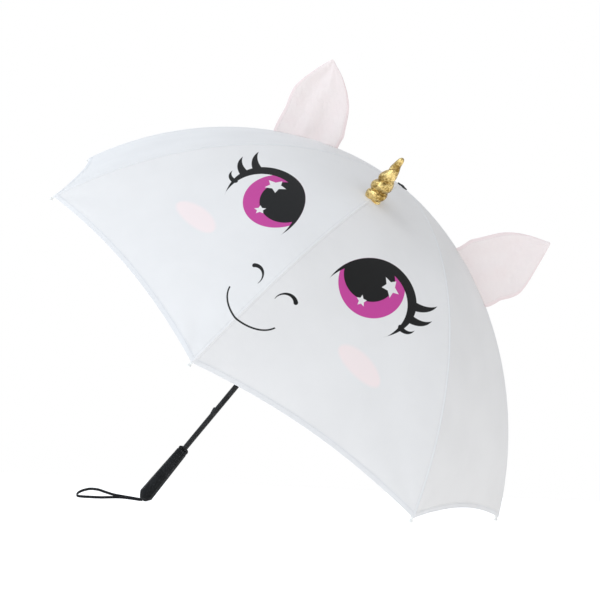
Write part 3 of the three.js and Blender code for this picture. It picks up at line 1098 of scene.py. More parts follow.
@dataclass
class Canopy:
    """Sixteen half-gores of cloth with their hems, and the tapes over the eight seams."""

    start: float = 5.6 * MM
    end: float = 484.6 * MM
    hem_sag: float = 13 * MM
    thickness: float = 0.4 * MM
    steps_along: int = 110
    steps_across: int = 34
    lining_print: float = 0.22
    hem_steps: int = 4
    hem_width: float = 6.5 * MM
    hem_thickness: float = 1.0 * MM
    hem_stand: float = 0.18 * MM
    hem_overhang: float = 0.3 * MM
    tape_steps: int = 6
    tape_start: float = 3 * MM
    tape_half_width: float = 1.5 * MM
    tape_thickness: float = 0.5 * MM
    tape_rise: float = 0.40 * MM
    tape_stand: float = 0.02 * MM
    tape_cut_shift: float = 20 * MM
    tip_fold_height: float = 1.1 * MM
    tip_fold_reach: float = 55 * MM
    tip_fold_count: float = 7.0
    fold_fade: float = 4.0
    fold_end: float = 0.75
    slack_height: float = 1.1 * MM
    slack_scale: float = 9.0
    slack_fade: float = 2.5
    slack_start: float = 120 * MM
    blend_radius: float = 200 * MM
    blend_from: float = 0.2 * MM
    blend_width: float = 160 * MM
    area_strips: int = 200
    printed_halves: tuple[tuple[int, Side], ...] = (
        (1, Side.PLUS), (1, Side.MINUS), (2, Side.MINUS), (8, Side.PLUS),
    )

    def hem_at(self, across: float) -> float:
        """How far along the seam the hem is, from 0 at the rib to 1 at the gore's middle."""
        return self.end - self.hem_sag * (1 - (1 - across) ** 2)

    def half_width(self, along: float) -> float:
        """The width of a flat half-gore at a distance along the seam."""
        return SEAM.at(along)[0] * math.sin(HALF_GORE)

    def on_gore(self, along: float, aside: float, lift: float = 0.0) -> Vector:
        """A point on the two gores beside a rib at azimuth 0.

        Args:
            along: the distance along the seam.
            aside: the distance from the seam across the cloth, below 0 on the minus side.
            lift: how far it stands off the cloth.

        Returns:
            The point in the rib's own frame.
        """
        radius, height = SEAM.at(along)
        slope = SEAM.slope(along)
        sign = math.copysign(1.0, aside)
        lean = math.sin(slope)
        normal = Vector((lean * math.cos(HALF_GORE), sign * lean * math.sin(HALF_GORE), 0.0))
        normal.z = math.cos(slope) * math.cos(HALF_GORE)
        across = Vector((-math.sin(HALF_GORE), sign * math.cos(HALF_GORE), 0.0))
        return Vector((radius, 0.0, height)) + across * abs(aside) + normal.normalized() * lift

    def folds(self, along: float, aside: float, place: Vector) -> float:
        """How far the cloth stands off its flat gore: pulls by the rib's tip and slack between.

        Args:
            along: the distance along the seam.
            aside: the distance from the seam, 0 or more.
            place: the point on the flat gore, which the slack varies with.

        Returns:
            The distance off the flat gore.
        """
        to_tip, share = self.end - along, aside / (self.half_width(along) + TINY)
        reach = math.hypot(to_tip, aside)
        bearing = math.atan2(aside, max(to_tip, TINY))
        pull = math.sin(self.tip_fold_count * bearing) * math.exp(-reach / self.tip_fold_reach)
        rise = min(1.0, share * self.fold_fade)
        calm = rise * (1 - max(0.0, share - self.fold_end) * self.fold_fade) if share < 1 else 0.0
        steady = min(1.0, share * self.slack_fade) * min(1.0, along / self.slack_start)
        slack = noise.noise(place * self.slack_scale) * steady
        return self.tip_fold_height * pull * calm + self.slack_height * slack

    def drape(
        self, grid: bmesh.types.BMesh, rib: int, lay: Callable[[float, float], Spot]
    ) -> None:
        """Bends a unit grid onto the cloth beside a rib, and gives it its two UV maps.

        Args:
            grid: the grid, with its corners at (0, 0) and (1, 1).
            rib: the number of the rib.
            lay: gives the spot on the cloth for a place on the grid.
        """
        turn = Matrix.Rotation((rib - 1) * GORE_ANGLE, 3, "Z")
        spots: dict[int, tuple[Pair, Pair]] = {}
        for vertex in grid.verts:
            spot = lay(vertex.co.x, vertex.co.y)
            flat = turn @ self.on_gore(spot.along, spot.aside)
            lift = spot.stand
            if spot.folded:
                lift += self.folds(spot.along, abs(spot.aside), flat)
            vertex.co = turn @ self.on_gore(spot.along, spot.aside, lift)
            azimuth = math.atan2(flat.y, flat.x)
            chart = spot.along * math.sin(azimuth), spot.along * math.cos(azimuth)
            spots[vertex.index] = chart, spot.cut
        chart_map = grid.loops.layers.uv.new("Chart")
        cut_map = grid.loops.layers.uv.new("Cut")
        for face in grid.faces:
            for loop in face.loops:
                loop[chart_map].uv, loop[cut_map].uv = spots[loop.vert.index]

    def half_gore(
        self, rib: int, side: Side, finish: bpy.types.Material, lining: bpy.types.Material
    ) -> bpy.types.Object:
        """Builds one half-gore sheet with its outer finish and its lining.

        Args:
            rib: the number of the rib.
            side: the side of the rib that it lies on.
            finish: the material of its outside.
            lining: the material of its inside.

        Returns:
            The new object.
        """

        def lay(run: float, share: float) -> Spot:
            """The spot on the cloth for a place on the sheet's grid."""
            along = self.start + run * (self.hem_at(share) - self.start)
            aside = share * self.half_width(along)
            return Spot(along, side.value * max(aside, TINY), (aside, along))

        grid = warped_grid(self.steps_along, self.steps_across)
        self.drape(grid, rib, lay)
        if side is Side.MINUS:
            bmesh.ops.reverse_faces(grid, faces=grid.faces)
        piece = finish_mesh(grid, f"canopy_{rib}_{side.word}", finish)
        piece.data.materials.append(lining)
        self.thicken(piece, self.thickness).material_offset = 1
        return piece

    def thicken(self, piece: bpy.types.Object, thickness: float) -> bpy.types.SolidifyModifier:
        """Gives a sheet its thickness, inwards.

        Args:
            piece: the sheet.
            thickness: its thickness.

        Returns:
            The modifier, still live.
        """
        solid = piece.modifiers.new("Thickness", "SOLIDIFY")
        solid.thickness = thickness
        solid.offset = -1.0
        return solid

    def hem(self, rib: int, side: Side, finish: bpy.types.Material) -> bpy.types.Object:
        """Builds the folded hem of one half-gore.

        Args:
            rib: the number of the rib.
            side: the side of the rib that it lies on.
            finish: its material.

        Returns:
            The new object.
        """

        def lay(run: float, share: float) -> Spot:
            """The spot on the cloth for a place on the hem's grid."""
            inset = (1 - run) * self.hem_width
            along = self.hem_at(share) + self.hem_overhang - inset
            aside = share * self.half_width(along)
            return Spot(along, side.value * max(aside, TINY), (aside, inset), self.hem_stand)

        grid = warped_grid(self.hem_steps, self.steps_across)
        self.drape(grid, rib, lay)
        if side is Side.MINUS:
            bmesh.ops.reverse_faces(grid, faces=grid.faces)
        piece = finish_mesh(grid, f"hem_{rib}_{side.word}", finish)
        self.thicken(piece, self.hem_thickness)
        return piece

    def tape(self, rib: int, finish: bpy.types.Material) -> bpy.types.Object:
        """Builds the narrow ridge of turned cloth over one seam.

        Args:
            rib: the number of the rib.
            finish: its material.

        Returns:
            The new object.
        """

        def lay(run: float, share: float) -> Spot:
            """The spot on the cloth for a place on the tape's grid."""
            across = 2 * share - 1
            along = self.start + self.tape_start + run * (self.end - self.start - self.tape_start)
            aside = across * self.tape_half_width
            stand = self.tape_rise * (1 - across**2) + self.tape_stand
            cut = aside + self.tape_cut_shift, along
            return Spot(along, aside if abs(aside) > TINY else TINY, cut, stand, folded=False)

        grid = warped_grid(self.steps_along, self.tape_steps)
        self.drape(grid, rib, lay)
        piece = finish_mesh(grid, f"seam_{rib}", finish)
        self.thicken(piece, self.tape_thickness)
        return piece

    def flat_area(self) -> float:
        """The area of one half-gore's cut.

        Returns:
            The area in square metres.
        """
        total = 0.0
        for row in range(self.area_strips):
            reach = self.hem_at((row + 0.5) / self.area_strips) - self.start
            for cell in range(self.area_strips):
                along = self.start + (cell + 0.5) / self.area_strips * reach
                total += self.half_width(along) * reach / self.area_strips**2
        return total

    def build(self) -> None:
        """Builds every gore, hem and seam, and joins each seam to its rib's body."""
        plain = CanopyCloth("canopy_cloth").material()
        printed = CanopyCloth("printed_canopy_cloth", print_strength=1.0).material()
        lining = CanopyCloth("canopy_lining", self.lining_print).material()
        hemmed = Hemming().material()
        area = self.flat_area()
        width = self.half_width(self.end)
        for rib in range(1, RIB_COUNT + 1):
            tape = self.tape(rib, printed if rib == 1 else hemmed)
            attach(tape, f"rib_{rib}")
            for side in Side:
                is_printed = (rib, side) in self.printed_halves
                outer, inner = (printed, lining) if is_printed else (plain, plain)
                sheet = self.half_gore(rib, side, outer, inner)
                hem = self.hem(rib, side, hemmed)
                for piece in (sheet, hem):
                    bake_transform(piece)
                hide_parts(f"cloth_{rib}_{side.word}")
        log.info("canopy: half-gore cut %.4f square metres", area)


# ---------- ears ----------


@dataclass
class Ear:
    """A soft two-layer ear that stands in the radial plane of its rib.

    Its front and back edges are (radius, height) points in millimetres from the base to the tip.
    """

    name: str
    body: str
    angle: float
    front: tuple[Pair, ...]
    back: tuple[Pair, ...]
    half_thickness: float = 2.4 * MM
    edge_thickness: float = 0.5 * MM
    cup: float = 4.5 * MM
    cup_low: float = 0.2
    foot_share: float = 0.12
    crease_height: float = 1.9 * MM
    crease_count: float = 2.2
    crease_slant: float = 0.35
    crease_fade: float = 0.6
    fan_part: float = 0.6
    drift_part: float = 0.9
    drift_scale: Pair = (3.0, 5.0)
    fill: float = 0.25
    weld: float = 0.02 * MM
    steps: int = 44

    def along(self, edge: tuple[Pair, ...], share: float) -> Vector:
        """A point on an edge's smooth curve, in metres, at a share of its length."""
        knots = [Vector((x, y)) * MM for x, y in edge]
        return on_curve(knots, share * (len(knots) - 1))

    def layer(self, towards: float) -> bmesh.types.BMesh:
        """One of the ear's two layers, on the face's side (1) or the back (-1).

        Args:
            towards: the side, 1 or -1.

        Returns:
            The layer, as an open grid.
        """
        grid = warped_grid(self.steps, self.steps)
        cut = grid.loops.layers.uv.new("Cut")
        for face in grid.faces:
            for loop in face.loops:
                loop[cut].uv = (loop.vert.co.x, loop.vert.co.y)
        facing = -1.0 if math.sin(self.angle) > 0 else 1.0
        for vertex in grid.verts:
            rise, span = vertex.co.x, vertex.co.y
            front, back = self.along(self.front, rise), self.along(self.back, rise)
            flat = front.lerp(back, span)
            if rise < self.foot_share:
                floor = self.floor_at(flat.x)
                flat.y += (floor - flat.y) * (1 - rise / self.foot_share)
            bow = math.sqrt(max(0.0, 4 * span * (1 - span))) * math.sqrt(1 - rise**3)
            plump = self.edge_thickness * (span * (1 - span) > 0) + self.half_thickness * bow
            height = math.sin(math.pi * min(1, rise + self.cup_low))
            cup = self.cup * ((2 * span - 1) ** 2 - 0.5) * height
            crease = self.crease(rise, span) * bow
            aside = facing * (cup + crease + towards * plump)
            vertex.co = radial(self.angle, flat.x, flat.y, aside)
        return grid

    def floor_at(self, radius: float) -> float:
        """The height of the seam at a radius."""
        return next(z for r, z in SEAM.table if r >= radius)

    def crease(self, rise: float, span: float) -> float:
        """Soft folds that fan out from the base to the tip.

        Args:
            rise: the share of the height, 0 at the base.
            span: the share of the width, 0 at the front.

        Returns:
            How far the cloth stands to the side.
        """
        swing = self.crease_count * span + self.crease_slant * rise
        fan = math.sin(2 * math.pi * swing) * (1 - rise) ** self.crease_fade
        up, across = self.drift_scale
        drift = noise.noise(Vector((up * rise, across * span, self.angle)))
        return self.crease_height * (self.fan_part * fan + self.drift_part * drift)

    def build(self, finish: bpy.types.Material) -> None:
        """Builds the ear and joins it to its rib.

        Args:
            finish: its material.
        """
        shape = self.layer(1.0)
        back = self.layer(-1.0)
        bmesh.ops.reverse_faces(back, faces=back.faces)
        spare = bpy.data.meshes.new("spare")
        back.to_mesh(spare)
        back.free()
        shape.from_mesh(spare)
        bpy.data.meshes.remove(spare)
        rims = [edge for edge in shape.edges if edge.is_boundary]
        bmesh.ops.bridge_loops(shape, edges=rims)
        bmesh.ops.remove_doubles(shape, verts=shape.verts, dist=self.weld)
        bmesh.ops.recalc_face_normals(shape, faces=shape.faces)
        piece = finish_mesh(shape, f"{self.name}_cloth", finish)
        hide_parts(self.name)
        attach(piece, self.body)


LEFT_EAR = Ear(
    "ear_left", "rib_7", -math.pi / 2,
    ((101, -4), (108, 10), (125, 38), (152, 59), (181, 72)),
    ((188, -35), (201, 3), (201, 24), (191, 56), (184, 72)),
)
RIGHT_EAR = Ear(
    "ear_right", "rib_3", math.pi / 2,
    ((108, -6), (123, 14), (142, 38), (165, 53), (194, 64)),
    ((188, -42), (205, -20), (209, -2), (202, 36), (196, 63)),
)


# ---------- horn ----------


@dataclass
class Horn:
    """A padded horn of gold cloth, wound round with thread so that it swells between turns."""

    at: float = 144 * MM
    tilt: float = 0.3
    length: float = 60 * MM
    girth: tuple[Pair, ...] = (
        (0.0, 11.2), (0.12, 12.6), (0.35, 12.9), (0.5, 10.8), (0.65, 7.8), (0.8, 5.6), (0.93, 4.0),
        (1.0, 3.2),
    )
    dome_from: float = 0.93
    dome_share: float = 0.07
    turns: float = 3.6
    winding_power: float = 1.35
    swell: float = 0.32
    groove_power: float = 0.55
    skirt_depth: float = 0.3 * MM
    skirt_flare: float = 0.16
    crinkle: float = 0.35 * MM
    crinkle_scale: Pair = (1.7, 11.0)
    crinkle_layers: int = 4
    weld: float = 0.01 * MM
    fill: float = 0.9
    thread_radius: float = 0.45 * MM
    thread_sides: int = 8
    thread_steps: int = 180
    thread_from: float = 0.01
    thread_share: float = 0.92
    thread_stand: float = 0.1 * MM
    steps_along: int = 150
    steps_round: int = 72

    def axes(self) -> tuple[Vector, Vector, Vector, Vector]:
        """The horn's foot, its axis, and two directions square to that.

        Returns:
            The foot, the axis, and the directions outwards and to the side.
        """
        radius, height = SEAM.at(self.at)
        axis = Vector((math.sin(self.tilt), 0.0, math.cos(self.tilt)))
        return Vector((radius, 0.0, height)), axis, Vector((axis.z, 0.0, -axis.x)), Vector((0, 1, 0))

    def radius_at(self, share: float, turn: float) -> float:
        """The horn's radius at a share of its height and an angle round it.

        Args:
            share: the share of the height.
            turn: the angle round the horn.

        Returns:
            The radius.
        """
        low, low_radius = max(knot for knot in self.girth[:-1] if knot[0] <= share)
        high, high_radius = next(knot for knot in self.girth[1:] if knot[0] > low)
        part = (share - low) / (high - low)
        taper = (low_radius + (high_radius - low_radius) * part) * MM
        if share > self.dome_from:
            taper *= math.sqrt(max(0.0, 1 - ((share - self.dome_from) / self.dome_share) ** 2))
        groove = abs(math.sin(self.winding(share) / 2 - turn / 2)) ** self.groove_power
        return taper * (1 - self.swell + self.swell * groove)

    def winding(self, share: float) -> float:
        """How far round the thread has gone at a share of the height."""
        return 2 * math.pi * self.turns * (1 - (1 - share) ** self.winding_power)

    def base_drop(self, turn: float) -> float:
        """How far below its foot the horn's skirt reaches at an angle, to follow the cloth.

        Args:
            turn: the angle round the horn.

        Returns:
            The distance below the foot.
        """
        slope = SEAM.slope(self.at) - self.tilt
        reach = self.radius_at(0.0, turn)
        forward = math.cos(turn) * reach * math.tan(slope)
        return forward + self.skirt_flare * reach * abs(math.sin(turn)) + self.skirt_depth

    def surface(self, share: float, turn: float, lift: float = 0.0) -> Vector:
        """A point on the horn's surface.

        Args:
            share: the share of the height.
            turn: the angle round the horn.
            lift: how far the point stands off the surface.

        Returns:
            The point, in the umbrella's frame.
        """
        foot, axis, out, side = self.axes()
        low = -self.base_drop(turn)
        height = low + share * (self.length - low)
        spread = self.radius_at(share, turn) + lift
        return foot + axis * height + (out * math.cos(turn) + side * math.sin(turn)) * spread

    def body_shape(self) -> bmesh.types.BMesh:
        """The horn as a grid rolled into a cone and closed at both ends.

        Returns:
            The shape, in the umbrella's frame.
        """
        grid = warped_grid(self.steps_along, self.steps_round)
        wide, tall = self.crinkle_scale
        for vertex in grid.verts:
            share, turn = vertex.co.x, vertex.co.y * 2 * math.pi
            spot = Vector((math.cos(turn) * wide, math.sin(turn) * wide, share * tall))
            rough = noise.fractal(spot, 1.0, 2.0, self.crinkle_layers)
            rough *= self.crinkle * math.sqrt(1 - share)
            vertex.co = self.surface(share, turn, rough)
        bmesh.ops.remove_doubles(grid, verts=grid.verts, dist=self.weld)
        rims = [edge for edge in grid.edges if edge.is_boundary]
        bmesh.ops.holes_fill(grid, edges=rims, sides=0)
        bmesh.ops.recalc_face_normals(grid, faces=grid.faces)
        return grid

    def thread(self, finish: bpy.types.Material) -> bpy.types.Object:
        """The winding thread, lying in the groove.

        Args:
            finish: its material.

        Returns:
            The new object.
        """
        points = []
        for index in range(self.thread_steps + 1):
            share = self.thread_from + self.thread_share * index / self.thread_steps
            points.append(self.surface(share, self.winding(share), self.thread_stand))
        return swept_cord("horn_thread", points, self.thread_radius, self.thread_sides, finish)

    def build(self) -> None:
        """Builds the horn and its thread."""
        piece = finish_mesh(self.body_shape(), "horn_cloth", GoldLame().material())
        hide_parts("horn")
        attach(piece, "rib_1")
        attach(self.thread(GOLD_THREAD.material()), "rib_1")


def swept_cord(
    name: str, points: list[Vector], radius: float, sides: int, finish: bpy.types.Material
) -> bpy.types.Object:
    """A round cord along points in the umbrella's frame, as a closed mesh.

    Args:
        name: the piece's name.
        points: its centreline.
        radius: its radius.
        sides: how many faces there are round it.
        finish: its material.

    Returns:
        The new object.
    """
    shape = bmesh.new()
    steps = [(b - a).normalized() for a, b in zip(points, points[1:])]
    between = [((a + b) / 2).normalized() for a, b in zip(steps, steps[1:])]
    headings = [steps[0], *between, steps[-1]]
    rings = []
    up = headings[0].orthogonal().normalized()
    for point, heading in zip(points, headings):
        up = (up - heading * up.dot(heading)).normalized()
        turn = Matrix((heading.cross(up), up, heading)).transposed().to_4x4()
        place = Matrix.Translation(point) @ turn
        ring = bmesh.ops.create_circle(shape, segments=sides, radius=radius, matrix=place)["verts"]
        rings.append(ring_edges(ring))
    close_tube(shape, rings)
    return finish_mesh(shape, name, finish)


# ---------- frame ----------


@dataclass
class RibFittings:
    """The white tip on each rib, and the rivet that joins each rib to its stretcher."""

    tip_at: float = 483.0 * MM
    tip_drop: float = 2.2 * MM
    tip_length: float = 8.0 * MM
    tip_radius: float = 2.3 * MM
    rivet_at: float = 210 * MM
    rivet_drop: float = 4.6 * MM
    rivet_middle: float = 1.4 * MM
    tip_steps: int = 28
    tip_collar: tuple[Pair, ...] = (
        (0, 0), (1.886, 0), (2.185, 0.3), (2.185, 1.5), (1.794, 1.9), (1.656, 3.0),
    )
    ball_from: float = -50.0
    ball_turn: float = 140.0
    ball_steps: int = 8
    rivet_steps: int = 20
    rivet_half: tuple[Pair, ...] = (
        (0, -3.2), (0.96, -3.1), (1.5, -2.7), (1.5, -2.4), (0.84, -2.4),
    )

    def tip_shape(self) -> bmesh.types.BMesh:
        """A tip along z: a collar, a short neck and a ball end.

        Returns:
            The shape, with its collar at height 0.
        """
        radius, end = self.tip_radius, self.tip_length
        profile = in_metres(self.tip_collar)
        for step in range(self.ball_steps):
            turn = math.radians(self.ball_from + self.ball_turn * step / self.ball_steps)
            profile.append((radius * math.cos(turn), end - radius + radius * math.sin(turn)))
        return turned_shape([*profile, (0.0, end)], self.tip_steps)

    def rivet_shape(self) -> bmesh.types.BMesh:
        """A rivet along z with a domed head at each end.

        Returns:
            The shape, with its middle at height 0.
        """
        half = in_metres(self.rivet_half)
        mirrored = [(x, -z) for x, z in reversed(half)]
        return turned_shape([*half, *mirrored], self.rivet_steps)

    def build(self) -> None:
        """Builds every rib's tip and rivets."""
        white, bright = WHITE_PLASTIC.material(), BRIGHT_STEEL.material()
        radius, height = SEAM.at(self.tip_at, self.tip_drop)
        lie = Matrix.Rotation(math.pi / 2 + SEAM.slope(self.tip_at), 4, "Y")
        across = Matrix.Rotation(math.pi / 2, 4, "X")
        joint = SEAM.at(self.rivet_at, self.rivet_drop)
        for rib in range(1, RIB_COUNT + 1):
            turn = Matrix.Rotation((rib - 1) * GORE_ANGLE, 4, "Z")
            tip = self.tip_shape()
            tip.transform(turn @ Matrix.Translation((radius, 0, height)) @ lie)
            piece = creased(finish_mesh(tip, f"rib_tip_{rib}", white), degrees=40)
            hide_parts(f"tip_{rib}")
            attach(piece, f"rib_{rib}")
            rivet = self.rivet_shape()
            pivot = Matrix.Translation((joint[0], self.rivet_middle, joint[1]))
            rivet.transform(turn @ pivot @ across)
            piece = creased(finish_mesh(rivet, f"stretcher_rivet_{rib}", bright))
            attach(piece, f"stretcher_{rib}")


@dataclass
class Stick:
    """The cap, the octagonal grip and the plug that holds the strap."""

    cap_steps: int = 56
    cap_profile: tuple[Pair, ...] = (
        (0, 0.4), (7.3, 0.4), (7.8, 0.9), (7.8, 1.5), (7.45, 2.0), (6.6, 2.1), (4.0, 2.35),
        (2.7, 2.4), (2.6, 2.75), (2.0, 3.0), (0, 3.0),
    )
    grip_sides: int = 8
    grip_rings: tuple[Pair, ...] = (
        (6.4, -595), (11.4, -587.5), (8.6, -496.7), (7.8, -495.9), (7.8, -494.9), (8.4, -494.1),
        (8.4, -491.3), (7.6, -490.5), (4.6, -490.5), (4.35, -492.5), (1.0, -492.7),
    )
    grip_edge_angle: float = 20.0
    grip_rounding: float = 0.45 * MM
    plug_steps: int = 32
    plug_profile: tuple[Pair, ...] = (
        (0, -596.7), (2.5, -596.7), (3.2, -596.2), (3.2, -595.3), (0, -595.3),
    )

    def cap_shape(self) -> bmesh.types.BMesh:
        """A shallow domed disc with a rolled rim and a rivet in the middle."""
        return turned_shape(in_metres(self.cap_profile), self.cap_steps)

    def grip_shape(self) -> bmesh.types.BMesh:
        """An eight-sided grip drawn from its end to its top, with its edges softened.

        Returns:
            The shape, in the umbrella's frame.
        """
        shape = bmesh.new()
        rings = []
        for radius, height in in_metres(self.grip_rings):
            ring = bmesh.ops.create_circle(
                shape, segments=self.grip_sides, radius=radius,
                matrix=Matrix.Translation((0, 0, height)),
            )["verts"]
            rings.append(ring_edges(ring))
        close_tube(shape, rings)
        sharp = math.radians(self.grip_edge_angle)
        bmesh.ops.bevel(
            shape, geom=[edge for edge in shape.edges if edge.calc_face_angle(0.0) > sharp],
            offset=self.grip_rounding, offset_type="OFFSET", segments=2, profile=0.5,
            affect="EDGES", clamp_overlap=True, material=-1,
        )
        return shape

    def plug_shape(self) -> bmesh.types.BMesh:
        """The round end of the plug that holds the strap."""
        return turned_shape(in_metres(self.plug_profile), self.plug_steps)

    def build(self) -> None:
        """Builds the cap, grip and plug."""
        black = BLACK_PLASTIC.material()
        cap = creased(finish_mesh(self.cap_shape(), "cap_disc", black))
        grip = creased(finish_mesh(self.grip_shape(), "grip", GRIP_PLASTIC.material()), degrees=30)
        plug = creased(finish_mesh(self.plug_shape(), "strap_eye", black))
        for piece, node in ((cap, "top_cap"), (grip, "handle"), (plug, "strap_plug")):
            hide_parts(node)
            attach(piece, "stick")


@dataclass
class WristStrap:
    """A loop of flat cord from the plug, standing on its edge on the floor.

    A route point is its distance from the plug along x and y, and the height of its middle
    above the floor, in millimetres. The first and last are at the plug itself.
    """

    plug_below: float = -598.5 * MM
    width: float = 4.0 * MM
    thickness: float = 1.3 * MM
    clearance: float = 0.1 * MM
    samples: int = 12
    sides: int = 12
    route: tuple[Point, ...] = (
        (0, -1.8, 4.0), (-5, -3, 2.3), (-18, -6, 3.2), (-32, -11, 4.0), (-46, -17, 3.4),
        (-60, -23, 2.4), (-76, -30, 2.15), (-90, -35, 2.2), (-100, -35, 3.2), (-105, -29, 6.5),
        (-102, -21, 11), (-92, -15, 14), (-78, -12.5, 13.5), (-64, -11, 10.5), (-50, -9.5, 7.6),
        (-36, -8, 6.0), (-22, -4.5, 4.6), (-10, -0.5, 3.2), (-4, 1.8, 2.5), (0, 1.8, 4.0),
    )

    def centreline(self) -> list[Vector]:
        """The cord's middle, sampled smoothly along its route, in the row frame.

        Returns:
            The points from the plug round the loop and back to it.
        """
        eye = TO_ROW @ Vector((0.0, 0.0, self.plug_below))
        knots = [Vector((eye.x + x * MM, eye.y + y * MM, z * MM)) for x, y, z in self.route]
        knots[0].z = knots[-1].z = eye.z
        count = (len(knots) - 1) * self.samples
        return [on_curve(knots, number / self.samples) for number in range(count + 1)]

    def shape(self, points: list[Vector]) -> bmesh.types.BMesh:
        """The flat cord as rings bridged along its middle.

        Args:
            points: the cord's middle, in the row frame.

        Returns:
            The shape, in the umbrella's frame.
        """
        shape = bmesh.new()
        cut = shape.loops.layers.uv.new("Cut")
        rings, runs, run = [], {}, 0.0
        for index, point in enumerate(points):
            ahead, behind = points[min(index + 1, len(points) - 1)], points[max(index - 1, 0)]
            heading = (ahead - behind).normalized()
            run += (point - points[index - 1]).length if index else 0.0
            level = heading.cross(Vector((0, 0, 1))).normalized()
            upright = level.cross(heading).normalized()
            half_width = min(self.width / 2, point.z - self.clearance)
            turn = Matrix((upright * half_width, level * self.thickness / 2, heading))
            place = Matrix.Translation(point) @ turn.transposed().to_4x4()
            ring = bmesh.ops.create_circle(
                shape, segments=self.sides, radius=1.0, matrix=place
            )["verts"]
            for number, vertex in enumerate(ring):
                runs[vertex] = (run, number / self.sides)
            rings.append(ring_edges(ring))
        close_tube(shape, rings)
        for face in shape.faces:
            for loop in face.loops:
                loop[cut].uv = runs[loop.vert]
        shape.transform(TO_ROW.inverted())
        return shape

    def build(self) -> None:
        """Builds the strap."""
        points = self.centreline()
        piece = finish_mesh(self.shape(points), "wrist_cord", Webbing().material())
        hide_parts("wrist_strap")
        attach(piece, "stick")


@dataclass
class CarriedParts:
    """The CAD parts that stay as they are, and their finishes."""

    steel: tuple[str, ...] = ("shaft", "top_catch", "bottom_catch")
    plastic: tuple[str, ...] = ("crown", "runner")

    def dress(self) -> None:
        """Gives every kept CAD part its finish."""
        steel, plastic = BLACK_STEEL.material(), BLACK_PLASTIC.material()
        ribs = [f"{kind}_{n}" for n in range(1, RIB_COUNT + 1) for kind in ("rib", "stretcher")]
        for names, finish in (([*self.steel, *ribs], steel), (self.plastic, plastic)):
            for name in names:
                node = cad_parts[name]
                node.data.materials.clear()
                node.data.materials.append(finish)
        log.info("kept parts: %d", len(ribs) + len(self.steel) + len(self.plastic))


# ---------- stage ----------


@dataclass(frozen=True)
class Lamp:
    """A square soft light that faces the middle of the umbrella."""

    name: str
    place: Point
    size: float
    power: float
    colour: Point
    aim: Point = (0.0, 0.0, 0.3)

    def hang(self) -> None:
        """Adds the lamp to the scene."""
        data = bpy.data.lights.new(self.name, "AREA")
        data.size, data.energy, data.color = self.size, self.power, self.colour
        lamp = bpy.data.objects.new(self.name, data)
        lamp.location = self.place
        heading = Vector(self.aim) - Vector(self.place)
        lamp.rotation_euler = heading.to_track_quat("-Z", "Y").to_euler()
        bpy.context.scene.collection.objects.link(lamp)


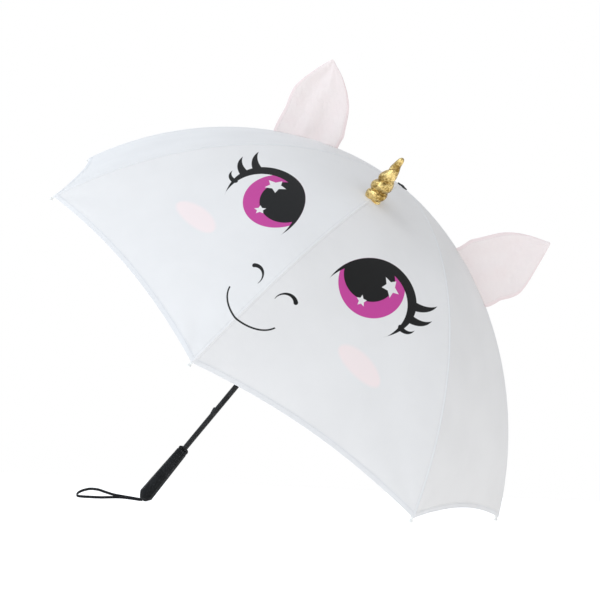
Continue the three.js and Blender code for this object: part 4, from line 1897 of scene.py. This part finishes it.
@dataclass
class Studio:
    """The pale floor, the surround, the soft lights and the camera.

    The surround is lit from its cool side, and its backdrop lies where the camera looks. Each
    begins and ends at the cosine of an angle from its own direction.
    """

    floor_size: float = 60.0
    floor_glow: float = 0.5
    camera_place: Point = (0.5896, -1.0627, 0.0322)
    camera_aim: Point = (-0.54525, 0.82169, 0.16590)
    camera_roll: float = 2.80
    lens: float = 53.2
    sensor_width: float = 36.0
    shift: Pair = (0.1, 0.0583)
    view_depth: float = 200.0
    cool_side: Point = (-0.837, -0.545, -0.048)
    cool_cosines: Pair = (-0.6, 0.6)
    backdrop_cosines: Pair = (0.5, 0.8)
    room: Colour = (0.48, 0.47, 0.465, 1.0)
    cool_room: Colour = (0.74, 0.83, 0.94, 1.0)
    backdrop: Colour = (1.0, 1.0, 1.0, 1.0)
    lamps: tuple[Lamp, ...] = (
        Lamp("key", (-0.2, -1.9, 1.9), 1.6, 15.5, (1.0, 0.99, 0.98)),
        Lamp("cool_fill", (-1.8, -0.9, 1.2), 1.4, 5.0, (0.82, 0.92, 1.0)),
    )

    def floor(self) -> None:
        """Lays the floor."""
        plane = bmesh.new()
        bmesh.ops.create_grid(plane, x_segments=1, y_segments=1, size=self.floor_size / 2)
        plane.transform(TO_ROW.inverted())
        finish = PALE_FLOOR.material()
        shader = next(n for n in finish.node_tree.nodes if n.type == "BSDF_PRINCIPLED")
        shader.inputs["Emission Color"].default_value = self.backdrop
        shader.inputs["Emission Strength"].default_value = self.floor_glow
        finish_mesh(plane, "floor", finish)

    def lights(self) -> None:
        """Sets the surround and hangs the lamps."""
        world = bpy.data.worlds.new("surround")
        world.use_nodes = True
        sheet = NodeSheet(world.node_tree)
        cool = self.towards(sheet, self.cool_side, self.cool_cosines)
        ahead = self.towards(sheet, self.camera_aim, self.backdrop_cosines)
        room = sheet.blend(cool, self.room, self.cool_room)
        background = sheet.tree.nodes["Background"]
        sheet.put(background.inputs["Color"], sheet.blend(ahead, room, self.backdrop))
        bpy.context.scene.world = world
        for lamp in self.lamps:
            lamp.hang()

    def towards(self, sheet: NodeSheet, aim: Point, cosines: Pair) -> Socket:
        """How nearly the surround's direction points along aim.

        Args:
            sheet: the surround's node sheet.
            aim: the direction that counts as ahead.
            cosines: the cosines where the result leaves 0 and reaches 1.

        Returns:
            The result's socket, 0 to 1.
        """
        direction = sheet.tree.nodes.new("ShaderNodeTexCoord").outputs["Generated"]
        dot = sheet.tree.nodes.new("ShaderNodeVectorMath")
        dot.operation = "DOT_PRODUCT"
        sheet.put(dot.inputs[0], direction)
        sheet.put(dot.inputs[1], aim)
        return sheet.ramp(dot.outputs["Value"], *cosines)

    def camera(self) -> None:
        """Sets the camera low in front, towards the face."""
        data = bpy.data.cameras.new("camera")
        data.lens, data.sensor_width = self.lens, self.sensor_width
        data.shift_x, data.shift_y = self.shift
        data.clip_end = self.view_depth
        camera = bpy.data.objects.new("camera", data)
        turn = Vector(self.camera_aim).to_track_quat("-Z", "Y").to_matrix().to_4x4()
        roll = Matrix.Rotation(math.radians(self.camera_roll), 4, "Z")
        camera.matrix_world = Matrix.Translation(self.camera_place) @ turn @ roll
        bpy.context.scene.collection.objects.link(camera)
        bpy.context.scene.camera = camera

    def build(self) -> None:
        """Builds the whole stage."""
        self.floor()
        self.lights()
        self.camera()
        bpy.context.scene.view_settings.view_transform = "Standard"


def main() -> None:
    """Builds the stage and every sub-assembly in order."""
    logging.basicConfig(level=logging.INFO, format="%(name)s: %(message)s")
    Studio().build()
    WristStrap().build()
    CarriedParts().dress()
    Canopy().build()
    satin = EarCloth().material()
    LEFT_EAR.build(satin)
    RIGHT_EAR.build(satin)
    Horn().build()
    RibFittings().build()
    Stick().build()


if __name__ == "__main__":
    main()
